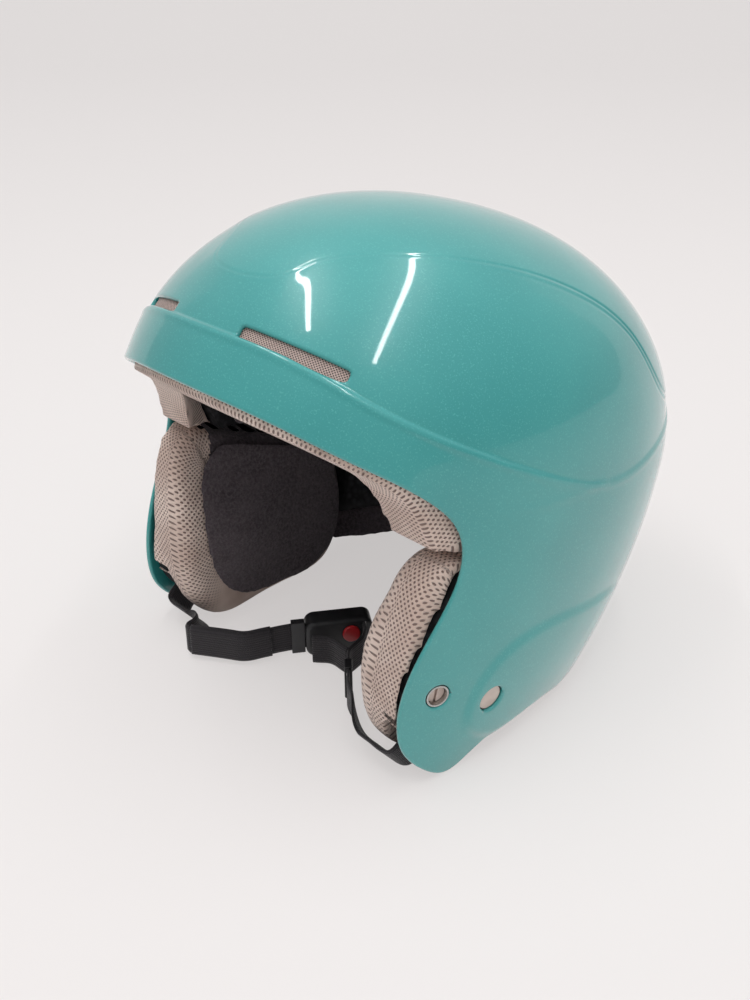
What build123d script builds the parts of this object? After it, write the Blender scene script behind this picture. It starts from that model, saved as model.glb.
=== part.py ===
from build123d import *
import os
from math import asin, atan2, cos, degrees, hypot, radians, sin

os.makedirs("parts", exist_ok=True)

# Ski race helmet. It is drawn upright, as worn: +X is the wearer's left, -Y the face, +Z the crown,
# with the origin midway between the ears at the level of the ear lobes' lowest point.
# At the end every piece is leaned back to the pose in which the helmet stands by itself.

# ---------- outer form ----------
half_width = 115.0
front_length = 141.0
back_length = 143.5
crown_height = 241.0
widest_height = 134.0
crown_exponent = 2.125      # roundness of the dome, seen from the side
plan_exponent = 2.17        # roundness of each level section
nape_exponent = 1.75        # the same at the back of the lowest level
side_taper = 0.15           # how far the flanks close in from the widest level to the lobes
face_taper = 0.106
nape_taper = 0.12
forward_lean = 28.0         # the lowest level lies this far forward of the widest one
skirt = 14.0                # the form runs on this far below the lobes, to be trimmed

# ---------- walls ----------
shell_wall = 2.4
bond_gap = 0.6
liner_side = 26.0
liner_end = 31.0
liner_top = 27.0
comfort_pad = 7.0
soft_gap = 0.6
panel_recess = 1.1

# ---------- face opening and lower rim, seen from the side (y, z) ----------
brow_centre = (-139, 153)
brow_side = (-116, 143.5)
brow_flank = (-88, 132)
temple_front = (-70, 117.5)
temple = (-66, 103)
cheek_top = (-68.5, 84)
cheek_mid = (-74, 60)
cheek_low = (-74.5, 36)
jaw_front = (-67, 17)
lobe_front = (-54, 6.5)
lobe_low = (-38, 2.0)
notch_front = (-28, 9)
notch_rear = (-21, 14.5)
rim_mid = (40, 28.5)
nape_low = (116, 43.5)
nape_back = (138, 51.5)

# ---------- recessed panel, seen from the side (y, z) ----------
panel_front_low = (-131, 176.5)
panel_front_high = (-118, 197)
panel_tip = (106, 166)

# ---------- vents ----------
vent_height = 4.8
vent_length = 49.0
vent_centre_x = 45.4
vent_centre_z = 176.5
vent_drop = 8.0             # degrees by which each vent falls towards the ear
vent_yaw = 22.0             # degrees by which each vent faces outwards
vent_pitch = 24.0           # degrees by which each vent faces upwards
mesh_border = 2.5
mesh_thickness = 0.8

# ---------- inside pads ----------
gap = 0.5                   # between foam pieces that meet
crown_pad_low = 172.0
temple_pad_reach = 46.0
occipital_low = 84.0
brow_pad_show = 4.0         # how far the brow pad shows below the brow's edge
brow_pad_temple = [(-100, 133), (-90, 127.5), (-81.5, 117)]
brow_pad_heel = (-76, 107)
neck_roll_tuck = 3.0
strap_window_top = 24.0     # below this the cheek pad leaves room for the strap beside the jaw foam
plate_inset = 5.0
brow_pad_depth = 24.0
brow_pad_up = 15.0          # how far the brow pad reaches up from the brow's edge
brow_pad_rear = -52.0
neck_roll_depth = 22.0
neck_roll_up = 24.0
jaw_top = 106.0
jaw_rear = 42.0

# ---------- jaw hardware ----------
guard_y = -59.8             # chin guard socket
guard_z = 44.8
ferrule_radius = 5.2
ferrule_bore = 4.3
ferrule_depth = 11.0
ferrule_sink = 0.5          # the ferrule's mouth lies this far under the skin
socket_depth = 2.2          # free depth above the screw's head
slot_width = 1.3
slot_depth = 1.3
slot_turn = 8.0
screw_head = 2.6
screw_shank = 2.0
anchor_y = -30.7            # chin strap rivet, and the axis on which the strap swings
anchor_z = 40.2
rivet_head = 5.7
rivet_head_depth = 1.8
rivet_shank = 2.4
rivet_sink = 0.15
rivet_seat_depth = 4.8      # underside of the rivet's head below the skin
rivet_tail_radius = 3.84
washer_radius = 6.2
washer_thickness = 0.8
rivet_tail = 0.5
fit = 0.2                   # running clearance of the metal parts

# ---------- cheek pads ----------
jaw_plane = 86.0            # inner face of the jaw foam, as a distance from the middle
strap_thickness = 1.6
strap_clear = 0.35
plate_thickness = 1.5
pad_inner_low = 58.0        # inner face of the cheek pads' mesh cover at the lobes' level
pad_inner_high = 74.0       # the same at the top of the jaw foam: the pads thicken towards the chin
pad_round = 10.0
plush_thickness = 3.0
plush_round = 2.0
cheek_outline = [
    (-69, 103.5),
    (-76, 95),
    (-78, 77),
    (-76, 54),
    (-70.5, 30),
    (-60, 13.5),
    (-43, 4),
    (-18, 9.5),
    (8, 16.5),
    (30, 25),
    (40, 42),
    (39, 72),
    (26, 95),
    (-6, 103),
    (-44, 105),
]
plush_outline = [
    (-59, 96),
    (-65, 86),
    (-66.5, 70),
    (-63, 50),
    (-53, 30),
    (-38, 19),
    (-10, 20),
    (16, 27),
    (31, 43),
    (32, 68),
    (21, 91),
    (-10, 98),
    (-42, 100),
]
snap_stud = 2.6
snap_flange = 5.0
snap_depth = 5.0

# ---------- chin strap ----------
strap_width = 20.0
strap_reach = 42.6          # how far from the rivets the strap passes under the jaw
strap_lift = 0.3            # the strap's lower edge above the table
ribbon_height = 16.0
ribbon_bend = 5.0
ribbon_end_x = 57.0
right_turns = [(-58, -50), (-53, -69), (-26, -51.5)]
left_turns = [(58, -51), (38, -40), (19, -23), (17, -11)]
tail_turns = [(19, -23), (6, -23), (-1, -29)]   # the loose end of the left band
sleeve_depth = 5.0
sleeve_wall = 0.8
sleeve_start = 0.12         # share of the run from the second bend of the right band
sleeve_stop = 0.55
buckle_centre = (-3.0, -10.0)
buckle_length = 34.0
buckle_width = 20.0
buckle_depth = 11.0
buckle_corner = 5.0
buckle_edge = 2.0
buckle_turn = 56.0          # plan direction of the buckle's length, from +X
button_radius = 4.5
button_travel = 2.0
button_proud = 1.2
button_place = (6.0, 2.0)   # on the buckle's front face, from its middle
tongue_thickness = 2.4
tongue_width = 13.0
tongue_neck = 7.0
tongue_stop = 11.0
tongue_rim = 0.9
latch_radius = 2.6
strap_bar = 4.5
strap_slot = 2.6
keeper_place = 12.0
keeper_length = 7.0
keeper_wall = 0.9

# ---------- goggle clip ----------
clip_z = 112.0
clip_width = 38.0
clip_height = 32.0
clip_corner = 4.0
clip_bed = 0.4              # the base plate's edge clears the skin's curve by this
clip_base = 3.0
clip_gap = 4.5              # room for a goggle strap under the flap
clip_flap = 2.2
clip_lug = 6.0
clip_pin = 1.3
clip_knuckle = 3.2
clip_drop = 26.0
clip_screw = 3.0
clip_head = 1.6
clip_shank = 1.4
clip_screw_length = 7.0


def down_share(height):
    """Share of the way from the widest level down to the lobes."""
    return max(0.0, (widest_height - height) / widest_height)


def level_points(height, side, end, top):
    """Points around the form's level section, set in by the three wall depths."""
    dome = crown_height - top - widest_height
    up = max(0.0, (height - widest_height) / dome)
    down = down_share(height)
    swell = (1 - up**crown_exponent) ** (1 / crown_exponent)
    across = (half_width - side) * swell * (1 - side_taper * down**2)
    lean = -forward_lean * down**2
    ahead = (front_length - end) * swell * (1 - face_taper * down**2) + lean
    behind = (back_length - end) * swell * (1 - nape_taper * down**2) - lean
    rear_exponent = plan_exponent + (nape_exponent - plan_exponent) * down**2
    points = []
    for step in range(16):
        angle = radians(22.5 * step)
        rear = sin(angle) >= 0
        power = 2 / (rear_exponent if rear else plan_exponent)
        reach = behind if rear else ahead
        x = across * abs(cos(angle)) ** (2 / plan_exponent) * (1 if cos(angle) >= 0 else -1)
        y = lean + reach * abs(sin(angle)) ** power * (1 if rear else -1)
        points.append((x, y))
    return points


def helmet_form(side, end, top):
    """The helmet's closed outer form, set in at the sides, the ends and the crown."""
    dome = crown_height - top - widest_height
    levels = [-skirt, 6, 26, 50, 78, 106, widest_height]
    levels += [widest_height + dome * sin(radians(a)) for a in (14, 28, 42, 55, 67, 77, 85)]
    with BuildPart() as form:
        for level in levels:
            with BuildSketch(Plane.XY.offset(level)):
                with BuildLine():
                    Spline(*level_points(level, side, end, top), periodic=True)
                make_face()
        crown = Vertex(0, 0, crown_height - top)
        loft([*form.pending_faces, crown])
        form.pending_faces.clear()
    return form.part


def even_form(depth):
    """The form set in by the same depth all over."""
    return helmet_form(depth, depth, depth)


def surface(y_or_x, z, facing):
    """Half width of the skin at (y, z) on the flank, or its y at (x, z) on the front or the back."""
    down = down_share(z)
    up = max(0.0, (z - widest_height) / (crown_height - widest_height))
    swell = (1 - up**crown_exponent) ** (1 / crown_exponent)
    across = half_width * swell * (1 - side_taper * down**2)
    lean = -forward_lean * down**2
    ahead = front_length * swell * (1 - face_taper * down**2) + lean
    behind = back_length * swell * (1 - nape_taper * down**2) - lean
    if facing == "side":
        reach = ahead if y_or_x < lean else behind
        return across * (1 - (abs(y_or_x - lean) / reach) ** plan_exponent) ** (1 / plan_exponent)
    share = (1 - (abs(y_or_x) / across) ** plan_exponent) ** (1 / plan_exponent)
    return lean - ahead * share if facing == "front" else lean + behind * share


def flank_plane(side, y, z):
    """Plane on the skin's left (side 1) or right (side -1) flank, facing straight out of it."""
    step = 2.0
    slope_y = (surface(y + step, z, "side") - surface(y - step, z, "side")) / (2 * step)
    slope_z = (surface(y, z + step, "side") - surface(y, z - step, "side")) / (2 * step)
    return Plane((side * surface(y, z, "side"), y, z), x_dir=(0, 1, 0), z_dir=(side, -slope_y, -slope_z))


def lifted(points, amount):
    """The same (y, z) points, raised by amount."""
    return [(y, z + amount) for y, z in points]


beyond = 200.0              # well outside the helmet on every side

# ---------- shared forms ----------
skin = even_form(0)
wall = even_form(shell_wall)
bond = even_form(shell_wall + bond_gap)
soft_wall = even_form(shell_wall + soft_gap)
room_depth = shell_wall + bond_gap
room = helmet_form(room_depth + liner_side, room_depth + liner_end, room_depth + liner_top)
pad_room = helmet_form(
    room_depth + liner_side + soft_gap,
    room_depth + liner_end + soft_gap,
    room_depth + liner_top + soft_gap,
)
head_room = helmet_form(
    room_depth + liner_side + comfort_pad,
    room_depth + liner_end + comfort_pad,
    room_depth + liner_top + comfort_pad,
)

# Everything above the lower rim and behind the face opening.
with BuildPart() as above_rim:
    with BuildSketch(Plane.YZ.offset(-beyond)):
        with BuildLine():
            Spline(
                (-beyond, brow_centre[1]),
                brow_centre,
                brow_side,
                brow_flank,
                temple_front,
                temple,
                cheek_top,
                cheek_mid,
                cheek_low,
                jaw_front,
                lobe_front,
                lobe_low,
                notch_front,
            )
            Line(notch_front, notch_rear)
            Spline(notch_rear, rim_mid, nape_low, nape_back)
            Polyline(
                nape_back,
                (beyond, nape_back[1]),
                (beyond, beyond * 2),
                (-beyond, beyond * 2),
                (-beyond, brow_centre[1]),
            )
        make_face()
    extrude(amount=2 * beyond)

# The recessed panel of each flank, which runs round the forehead between two creases.
with BuildPart() as panel_prism:
    with BuildSketch(Plane.YZ.offset(-beyond)):
        with BuildLine():
            Line((-beyond, panel_front_low[1]), panel_front_low)
            Spline(panel_front_low, (-108, 165), (-68, 150.5), (-28, 141), (10, 137), (47, 145), (82, 158), panel_tip)
            Spline(panel_tip, (63, 176), (40, 197), (5, 213), (-37, 219), (-73, 217), (-102, 207.5), panel_front_high)
            Line(panel_front_high, (-beyond, panel_front_high[1]))
            Line((-beyond, panel_front_high[1]), (-beyond, panel_front_low[1]))
        make_face()
    extrude(amount=2 * beyond)
recessed = even_form(panel_recess)
flush_form = even_form(rivet_sink)

# ---------- vents ----------
vent_y = surface(vent_centre_x, vent_centre_z, "front")
vent_facing = (
    sin(radians(vent_yaw)) * cos(radians(vent_pitch)),
    -cos(radians(vent_yaw)) * cos(radians(vent_pitch)),
    sin(radians(vent_pitch)),
)
vent_run = (
    cos(radians(vent_yaw)) * cos(radians(vent_drop)),
    sin(radians(vent_yaw)) * cos(radians(vent_drop)),
    -sin(radians(vent_drop)),
)
vent_plane = Plane((vent_centre_x, vent_y, vent_centre_z), x_dir=vent_run, z_dir=vent_facing)


def vent_prism(border, above, below):
    """The two vents' slots, wider by border, from above the skin to a depth below it."""
    with BuildPart() as prism:
        with BuildSketch(vent_plane.offset(above)):
            SlotOverall(vent_length + 2 * border, vent_height + 2 * border)
        extrude(amount=-above - below)
        mirror(about=Plane.YZ)
    return prism.part


mesh_pocket_depth = 9.0
vent_cut = vent_prism(0, 12, liner_end * 2)
mesh_area = vent_prism(mesh_border, 12, mesh_pocket_depth - 1)
mesh_pocket = vent_prism(mesh_border + bond_gap, 12, mesh_pocket_depth)

# ---------- jaw hardware ----------
guard_planes = {side: flank_plane(side, guard_y, guard_z) for side in (1, -1)}
anchor_x = surface(anchor_y, anchor_z, "side")
rivet_seat = anchor_x - rivet_seat_depth


# ---------- goggle clip's place ----------
clip_y = surface(0, clip_z, "back")
clip_plane = Plane((0, clip_y, clip_z), x_dir=(-1, 0, 0), z_dir=(0, 1, 0))
clip_face = clip_bed + clip_base                    # outer face of the base plate above the skin
flap_face = clip_face + clip_gap
hinge_out = clip_face + clip_gap + clip_flap / 2
hinge_up = clip_height / 2 - clip_knuckle
knuckle_half = clip_width / 2 - clip_lug - fit
screw_places = [(-clip_width / 4, -hinge_up / 2), (clip_width / 4, -hinge_up / 2)]
hinge_plane = Plane((0, clip_y + hinge_out, clip_z + hinge_up), x_dir=(0, 1, 0), z_dir=(1, 0, 0))

with BuildPart() as clip_screw_holes:
    with BuildSketch(clip_plane.offset(clip_height / 2)):
        with Locations(*screw_places):
            Circle(clip_shank + fit / 2)
    extrude(amount=-clip_height)

# ---------- rest pose ----------
# The helmet leans back until its ear lobes and its nape both stand on the table.
rest_tilt = degrees(atan2(nape_low[1] - lobe_low[1], nape_low[0] - lobe_low[0]))

# ---------- shell ----------
with BuildPart() as panel_skin:
    add(panel_prism.part)
    add(skin, mode=Mode.INTERSECT)
    add(recessed, mode=Mode.SUBTRACT)

with BuildPart() as outer_shell:
    add(above_rim.part)
    add(skin, mode=Mode.INTERSECT)
    add(wall, mode=Mode.SUBTRACT)
    add(panel_skin.part, mode=Mode.SUBTRACT)
    add(vent_cut, mode=Mode.SUBTRACT)
    for plane in guard_planes.values():
        with BuildSketch(plane.offset(shell_wall * 2)):
            Circle(ferrule_radius + fit)
        extrude(amount=-shell_wall * 4, mode=Mode.SUBTRACT)
    with BuildSketch(Plane.YZ.offset(-beyond)):
        with Locations((anchor_y, anchor_z)):
            Circle(rivet_head + fit)
    extrude(amount=2 * beyond, mode=Mode.SUBTRACT)
    add(clip_screw_holes.part, mode=Mode.SUBTRACT)


# ---------- impact liner ----------
liner_front = lifted([brow_centre, brow_side, brow_flank], brow_pad_up)
liner_rear = lifted([rim_mid, nape_low, nape_back], neck_roll_up + gap)
with BuildPart() as impact_liner:
    with BuildSketch(Plane.YZ.offset(-beyond)):
        with BuildLine():
            Polyline(
                (-beyond, liner_front[0][1]),
                *liner_front,
                (brow_pad_rear, jaw_top + gap),
                (jaw_rear + gap, jaw_top + gap),
                (jaw_rear + gap, liner_rear[0][1]),
                *liner_rear[1:],
                (beyond, liner_rear[2][1]),
                (beyond, 2 * beyond),
                (-beyond, 2 * beyond),
                close=True,
            )
        make_face()
    extrude(amount=2 * beyond)
    add(bond, mode=Mode.INTERSECT)
    add(room, mode=Mode.SUBTRACT)
    add(vent_cut, mode=Mode.SUBTRACT)
    add(mesh_pocket, mode=Mode.SUBTRACT)
    add(clip_screw_holes.part, mode=Mode.SUBTRACT)

# ---------- vent meshes ----------
mesh_inner = even_form(shell_wall + bond_gap + mesh_thickness)
with BuildPart() as vent_meshes:
    add(mesh_area)
    add(bond, mode=Mode.INTERSECT)
    add(mesh_inner, mode=Mode.SUBTRACT)
vent_mesh_right, vent_mesh_left = vent_meshes.part.solids().sort_by(Axis.X)

# ---------- brow pad ----------
brow_low = lifted([brow_centre, brow_side], -brow_pad_show)
with BuildPart() as brow_pad:
    with BuildSketch(Plane.YZ.offset(-beyond)):
        with BuildLine():
            Polyline((-beyond, brow_low[0][1]), brow_low[0])
            Spline(*brow_low, *brow_pad_temple, brow_pad_heel)
            Polyline(
                brow_pad_heel,
                (brow_pad_rear - gap, brow_pad_heel[1]),
                *reversed(lifted(liner_front, -gap)),
                (-beyond, liner_front[0][1] - gap),
                (-beyond, brow_low[0][1]),
            )
        make_face()
    extrude(amount=2 * beyond)
    add(soft_wall, mode=Mode.INTERSECT)
    add(even_form(shell_wall + soft_gap + brow_pad_depth), mode=Mode.SUBTRACT)

# ---------- comfort pads inside the liner ----------
centred_low = (Align.CENTER, Align.CENTER, Align.MIN)
with BuildPart() as crown_pad:
    with Locations((0, 0, crown_pad_low)):
        Box(2 * beyond, 2 * beyond, beyond, align=centred_low)
    add(pad_room, mode=Mode.INTERSECT)
    add(head_room, mode=Mode.SUBTRACT)

with BuildPart() as temple_pads:
    with Locations((0, 0, jaw_top + 2 * gap)):
        Box(2 * beyond, 2 * temple_pad_reach, crown_pad_low - 3 * gap - jaw_top, align=centred_low)
    add(pad_room, mode=Mode.INTERSECT)
    add(head_room, mode=Mode.SUBTRACT)
temple_pad_right, temple_pad_left = temple_pads.part.solids().sort_by(Axis.X)

with BuildPart() as occipital_pad:
    with Locations((0, temple_pad_reach + gap, occipital_low)):
        Box(2 * beyond, beyond, crown_pad_low - gap - occipital_low, align=(Align.CENTER, Align.MIN, Align.MIN))
    add(pad_room, mode=Mode.INTERSECT)
    add(head_room, mode=Mode.SUBTRACT)

# ---------- neck roll ----------
roll_low = lifted([rim_mid, nape_low, nape_back], neck_roll_tuck)
roll_high = lifted([rim_mid, nape_low, nape_back], neck_roll_up)
with BuildPart() as neck_roll:
    with BuildSketch(Plane.YZ.offset(-beyond)):
        with BuildLine():
            Polyline(
                (jaw_rear + gap, roll_low[0][1]),
                *roll_low[1:],
                (beyond, roll_low[2][1]),
                (beyond, roll_high[2][1]),
                *reversed(roll_high[1:]),
                (jaw_rear + gap, roll_high[0][1]),
                close=True,
            )
        make_face()
    extrude(amount=2 * beyond)
    add(soft_wall, mode=Mode.INTERSECT)
    add(even_form(shell_wall + soft_gap + neck_roll_depth), mode=Mode.SUBTRACT)

# ---------- jaw foams, strap rivets and chin guard ferrules ----------
strap_outer = jaw_plane - strap_clear
strap_inner = strap_outer - strap_thickness
washer_outer = strap_inner - soft_gap
plate_outer = washer_outer - washer_thickness - rivet_tail - soft_gap
pad_outer = plate_outer - plate_thickness
pad_lean = atan2(pad_inner_high - pad_inner_low, jaw_top)
jaw_outline = [
    (-60, jaw_top - 5),
    (-64.5, 84),
    (-69, 60),
    (-69, 36),
    (-60, 20),
    (-48, 11),
    (-36, 9),
    (-16, 19),
    (10, 27),
    (jaw_rear - 8, 36),
    (jaw_rear - 3, 48),
    (jaw_rear - 3, jaw_top - 18),
    (jaw_rear - 14, jaw_top - 5),
    (-10, jaw_top - 3),
    (-46, jaw_top - 3),
]
snap_places = [(-50, 82), (-5, 88), (25, 66)]


def spread(points, amount):
    """The same outline with every point moved away from the outline's middle by amount."""
    middle_y = sum(y for y, z in points) / len(points)
    middle_z = sum(z for y, z in points) / len(points)
    moved = []
    for y, z in points:
        away = hypot(y - middle_y, z - middle_z)
        moved.append((y + amount * (y - middle_y) / away, z + amount * (z - middle_z) / away))
    return moved


def jaw_prism(side, inner, outer, clear=0.0, window=False):
    """The jaw foam's outline, wider by clear, between two distances from the middle plane.

    With window it also takes in everything low down, where the strap comes out."""
    with BuildPart() as prism:
        with BuildSketch(Plane.YZ.offset(side * inner)):
            with BuildLine():
                Spline(*spread(jaw_outline, clear), periodic=True)
            make_face()
            if window:
                Rectangle(beyond, strap_window_top, align=(Align.CENTER, Align.MIN))
        extrude(amount=side * (outer - inner))
    return prism.part


def cheek_plane(side, inward):
    """The cheek pad's inner face, moved towards the middle by inward."""
    facing = (cos(pad_lean), 0, -side * sin(pad_lean))
    return Plane((side * pad_inner_low, 0, 0), x_dir=(0, 1, 0), z_dir=facing).offset(-side * inward)


def leaned(points):
    """An outline seen from the side, drawn out to lie on the pad's leaning face."""
    return [(y, z / cos(pad_lean)) for y, z in points]


def cheek_prism(side):
    """The cheek pad's outline, rounded over on its inner face."""
    with BuildPart() as prism:
        with BuildSketch(cheek_plane(side, 0)):
            with BuildLine():
                Spline(*leaned(cheek_outline), periodic=True)
            make_face()
        extrude(amount=half_width, dir=(side, 0, 0))
        faces = prism.faces().filter_by(GeomType.PLANE).sort_by(Axis.X)
        fillet((faces[0] if side > 0 else faces[-1]).edges(), radius=pad_round)
    return prism.part


sides = {"left": 1, "right": -1}
made = {}
for name, side in sides.items():
    guard_plane = guard_planes[side]
    inward = Plane.YZ.offset(side * jaw_plane)

    jaw_block = jaw_prism(side, jaw_plane, half_width)
    with BuildPart() as jaw_foam:
        add(jaw_block)
        add(bond, mode=Mode.INTERSECT)
        with BuildSketch(guard_plane):
            Circle(ferrule_radius + fit)
        extrude(amount=-ferrule_depth - gap, mode=Mode.SUBTRACT)
        with BuildSketch(Plane.YZ.offset(side * rivet_seat)):
            with Locations((anchor_y, anchor_z)):
                Circle(rivet_head + fit)
        extrude(amount=side * beyond, mode=Mode.SUBTRACT)
        with BuildSketch(inward):
            with Locations((anchor_y, anchor_z)):
                Circle(rivet_shank + fit)
        extrude(amount=side * beyond, mode=Mode.SUBTRACT)
        with BuildSketch(inward):
            with Locations(*snap_places):
                Circle(snap_stud + fit / 2)
        extrude(amount=side * (snap_depth + gap), mode=Mode.SUBTRACT)

    with BuildPart() as ferrule:
        with BuildSketch(guard_plane.offset(-ferrule_sink)):
            Circle(ferrule_radius)
        extrude(amount=ferrule_sink - ferrule_depth)
        with BuildSketch(guard_plane.offset(-ferrule_sink)):
            Circle(ferrule_bore)
        extrude(amount=-socket_depth - screw_head, mode=Mode.SUBTRACT)
        with BuildSketch(guard_plane):
            Circle(screw_shank + fit)
        extrude(amount=-ferrule_depth, mode=Mode.SUBTRACT)

    with BuildPart() as screw:
        with BuildSketch(guard_plane.offset(-ferrule_sink - socket_depth)):
            Circle(ferrule_bore - fit)
        extrude(amount=-screw_head)
        with BuildSketch(guard_plane.offset(-ferrule_sink - socket_depth - screw_head)):
            Circle(screw_shank)
        extrude(amount=ferrule_sink + socket_depth + screw_head - ferrule_depth)
        with BuildSketch(guard_plane.offset(-ferrule_sink - socket_depth)):
            Rectangle(slot_width, 2 * ferrule_bore, rotation=slot_turn)
        extrude(amount=-slot_depth, mode=Mode.SUBTRACT)

    with BuildPart() as rivet:
        with BuildSketch(Plane.YZ.offset(side * rivet_seat)):
            with Locations((anchor_y, anchor_z)):
                Circle(rivet_head)
        extrude(amount=side * (beyond - rivet_seat))
        add(flush_form, mode=Mode.INTERSECT)
        with BuildSketch(Plane.YZ.offset(side * rivet_seat)):
            with Locations((anchor_y, anchor_z)):
                Circle(rivet_shank)
        extrude(amount=side * (washer_outer - washer_thickness - rivet_seat))
        with BuildSketch(Plane.YZ.offset(side * (washer_outer - washer_thickness))):
            with Locations((anchor_y, anchor_z)):
                Circle(rivet_tail_radius)
        extrude(amount=-side * rivet_tail)

    with BuildPart() as washer:
        with BuildSketch(Plane.YZ.offset(side * washer_outer)):
            with Locations((anchor_y, anchor_z)):
                Circle(washer_radius)
                Circle(rivet_shank + fit / 2, mode=Mode.SUBTRACT)
        extrude(amount=-side * washer_thickness)

    plate_block = jaw_prism(side, pad_outer, plate_outer, -plate_inset)
    with BuildPart() as plate:
        add(plate_block)

    with BuildPart() as snaps:
        for y, z in snap_places:
            with BuildSketch(Plane.YZ.offset(side * plate_outer)):
                with Locations((y, z)):
                    Circle(snap_flange)
            extrude(amount=side * (jaw_plane - plate_outer))
            with BuildSketch(Plane.YZ.offset(side * jaw_plane)):
                with Locations((y, z)):
                    Circle(snap_stud)
            extrude(amount=side * snap_depth)

    cheek_body = cheek_prism(side)
    jaw_room = jaw_prism(side, pad_outer - soft_gap, half_width, 2 * gap, window=True)
    with BuildPart() as cheek_pad:
        add(cheek_body)
        add(soft_wall, mode=Mode.INTERSECT)
        add(jaw_room, mode=Mode.SUBTRACT)

    with BuildPart() as plush:
        with BuildSketch(cheek_plane(side, soft_gap)):
            with BuildLine():
                Spline(*leaned(plush_outline), periodic=True)
            make_face()
        extrude(amount=-side * plush_thickness)
        faces = plush.faces().filter_by(GeomType.PLANE).sort_by(Axis.X)
        fillet((faces[0] if side > 0 else faces[-1]).edges(), radius=plush_round)

    made[f"jaw_foam_{name}"] = jaw_foam
    made[f"chin_guard_ferrule_{name}"] = ferrule
    made[f"chin_guard_screw_{name}"] = screw
    made[f"strap_rivet_{name}"] = rivet
    made[f"rivet_washer_{name}"] = washer
    made[f"cheek_plate_{name}"] = plate
    made[f"cheek_snaps_{name}"] = snaps
    made[f"cheek_pad_{name}"] = cheek_pad
    made[f"cheek_plush_{name}"] = plush

made["outer_shell"] = outer_shell
made["impact_liner"] = impact_liner
made["brow_pad"] = brow_pad
made["crown_pad"] = crown_pad
made["occipital_pad"] = occipital_pad
made["neck_roll"] = neck_roll

# ---------- goggle clip at the back ----------
with BuildPart() as goggle_clip_base:
    with BuildSketch(clip_plane.offset(-clip_height / 2)):
        RectangleRounded(clip_width, clip_height, clip_corner)
    extrude(amount=clip_height / 2 + clip_face)
    add(skin, mode=Mode.SUBTRACT)
    with BuildSketch(hinge_plane.offset(-clip_width / 2)):
        Circle(clip_knuckle)
        with Locations((-clip_knuckle, 0)):
            Rectangle(2 * clip_knuckle, 2 * clip_knuckle)
    extrude(amount=clip_lug)
    with BuildSketch(hinge_plane.offset(clip_width / 2 - clip_lug)):
        Circle(clip_knuckle)
        with Locations((-clip_knuckle, 0)):
            Rectangle(2 * clip_knuckle, 2 * clip_knuckle)
    extrude(amount=clip_lug)
    with BuildSketch(hinge_plane.offset(-clip_width)):
        Circle(clip_pin + fit / 2)
    extrude(amount=2 * clip_width, mode=Mode.SUBTRACT)
    with BuildSketch(clip_plane.offset(clip_face)):
        with Locations(*screw_places):
            Circle(clip_screw + fit)
    extrude(amount=-clip_head, mode=Mode.SUBTRACT)
    with BuildSketch(clip_plane.offset(clip_face)):
        with Locations(*screw_places):
            Circle(clip_shank + fit)
    extrude(amount=-clip_height, mode=Mode.SUBTRACT)

with BuildPart() as goggle_clip_flap:
    with BuildSketch(hinge_plane.offset(-knuckle_half)):
        Circle(clip_knuckle - fit)
        with Locations((0, -clip_drop / 2)):
            Rectangle(clip_flap, clip_drop)
        with Locations((0, -clip_drop + clip_flap / 2)):
            Rectangle(clip_gap + clip_flap / 2 - gap, clip_flap, align=(Align.MAX, Align.CENTER))
    extrude(amount=2 * knuckle_half)
    with BuildSketch(hinge_plane.offset(-clip_width)):
        Circle(clip_pin + fit / 2)
    extrude(amount=2 * clip_width, mode=Mode.SUBTRACT)

with BuildPart() as goggle_clip_pin:
    with BuildSketch(hinge_plane.offset(-clip_width / 2)):
        Circle(clip_pin)
    extrude(amount=clip_width)

with BuildPart() as goggle_clip_screws:
    with BuildSketch(clip_plane.offset(clip_face - fit)):
        with Locations(*screw_places):
            Circle(clip_screw)
    extrude(amount=fit - clip_head)
    with BuildSketch(clip_plane.offset(clip_face - clip_head)):
        with Locations(*screw_places):
            Circle(clip_shank)
    extrude(amount=-clip_screw_length)
    with BuildSketch(clip_plane.offset(clip_face - fit)):
        with Locations(*screw_places):
            RegularPolygon(clip_shank, 6)
    extrude(amount=-clip_head / 2, mode=Mode.SUBTRACT)

made["goggle_clip_base"] = goggle_clip_base
made["goggle_clip_flap"] = goggle_clip_flap
made["goggle_clip_pin"] = goggle_clip_pin
made["goggle_clip_screws"] = goggle_clip_screws

# ---------- standing on the table ----------
lean_back = Rot(-rest_tilt, 0, 0)
rim_edges = (lean_back * outer_shell.part).edges()
floor_drop = min((edge @ (step / 40)).Z for edge in rim_edges for step in range(41))
stand = Pos(0, 0, -floor_drop) * lean_back
upright = {label: piece.part for label, piece in made.items()}
upright["vent_mesh_left"] = vent_mesh_left
upright["vent_mesh_right"] = vent_mesh_right
upright["temple_pad_left"] = temple_pad_left
upright["temple_pad_right"] = temple_pad_right
pieces = {label: stand * solid for label, solid in upright.items()}

# ---------- chin strap, laid on the table in front ----------
tilt = radians(rest_tilt)
swing_y = anchor_y * cos(tilt) + anchor_z * sin(tilt)
swing_z = anchor_z * cos(tilt) - anchor_y * sin(tilt) - floor_drop
strap_outer_reach = strap_reach + strap_thickness
half_spread = degrees(atan2(strap_width / 2, strap_reach))
strap_slope = degrees(asin((swing_z - strap_lift) / strap_outer_reach)) - half_spread


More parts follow.
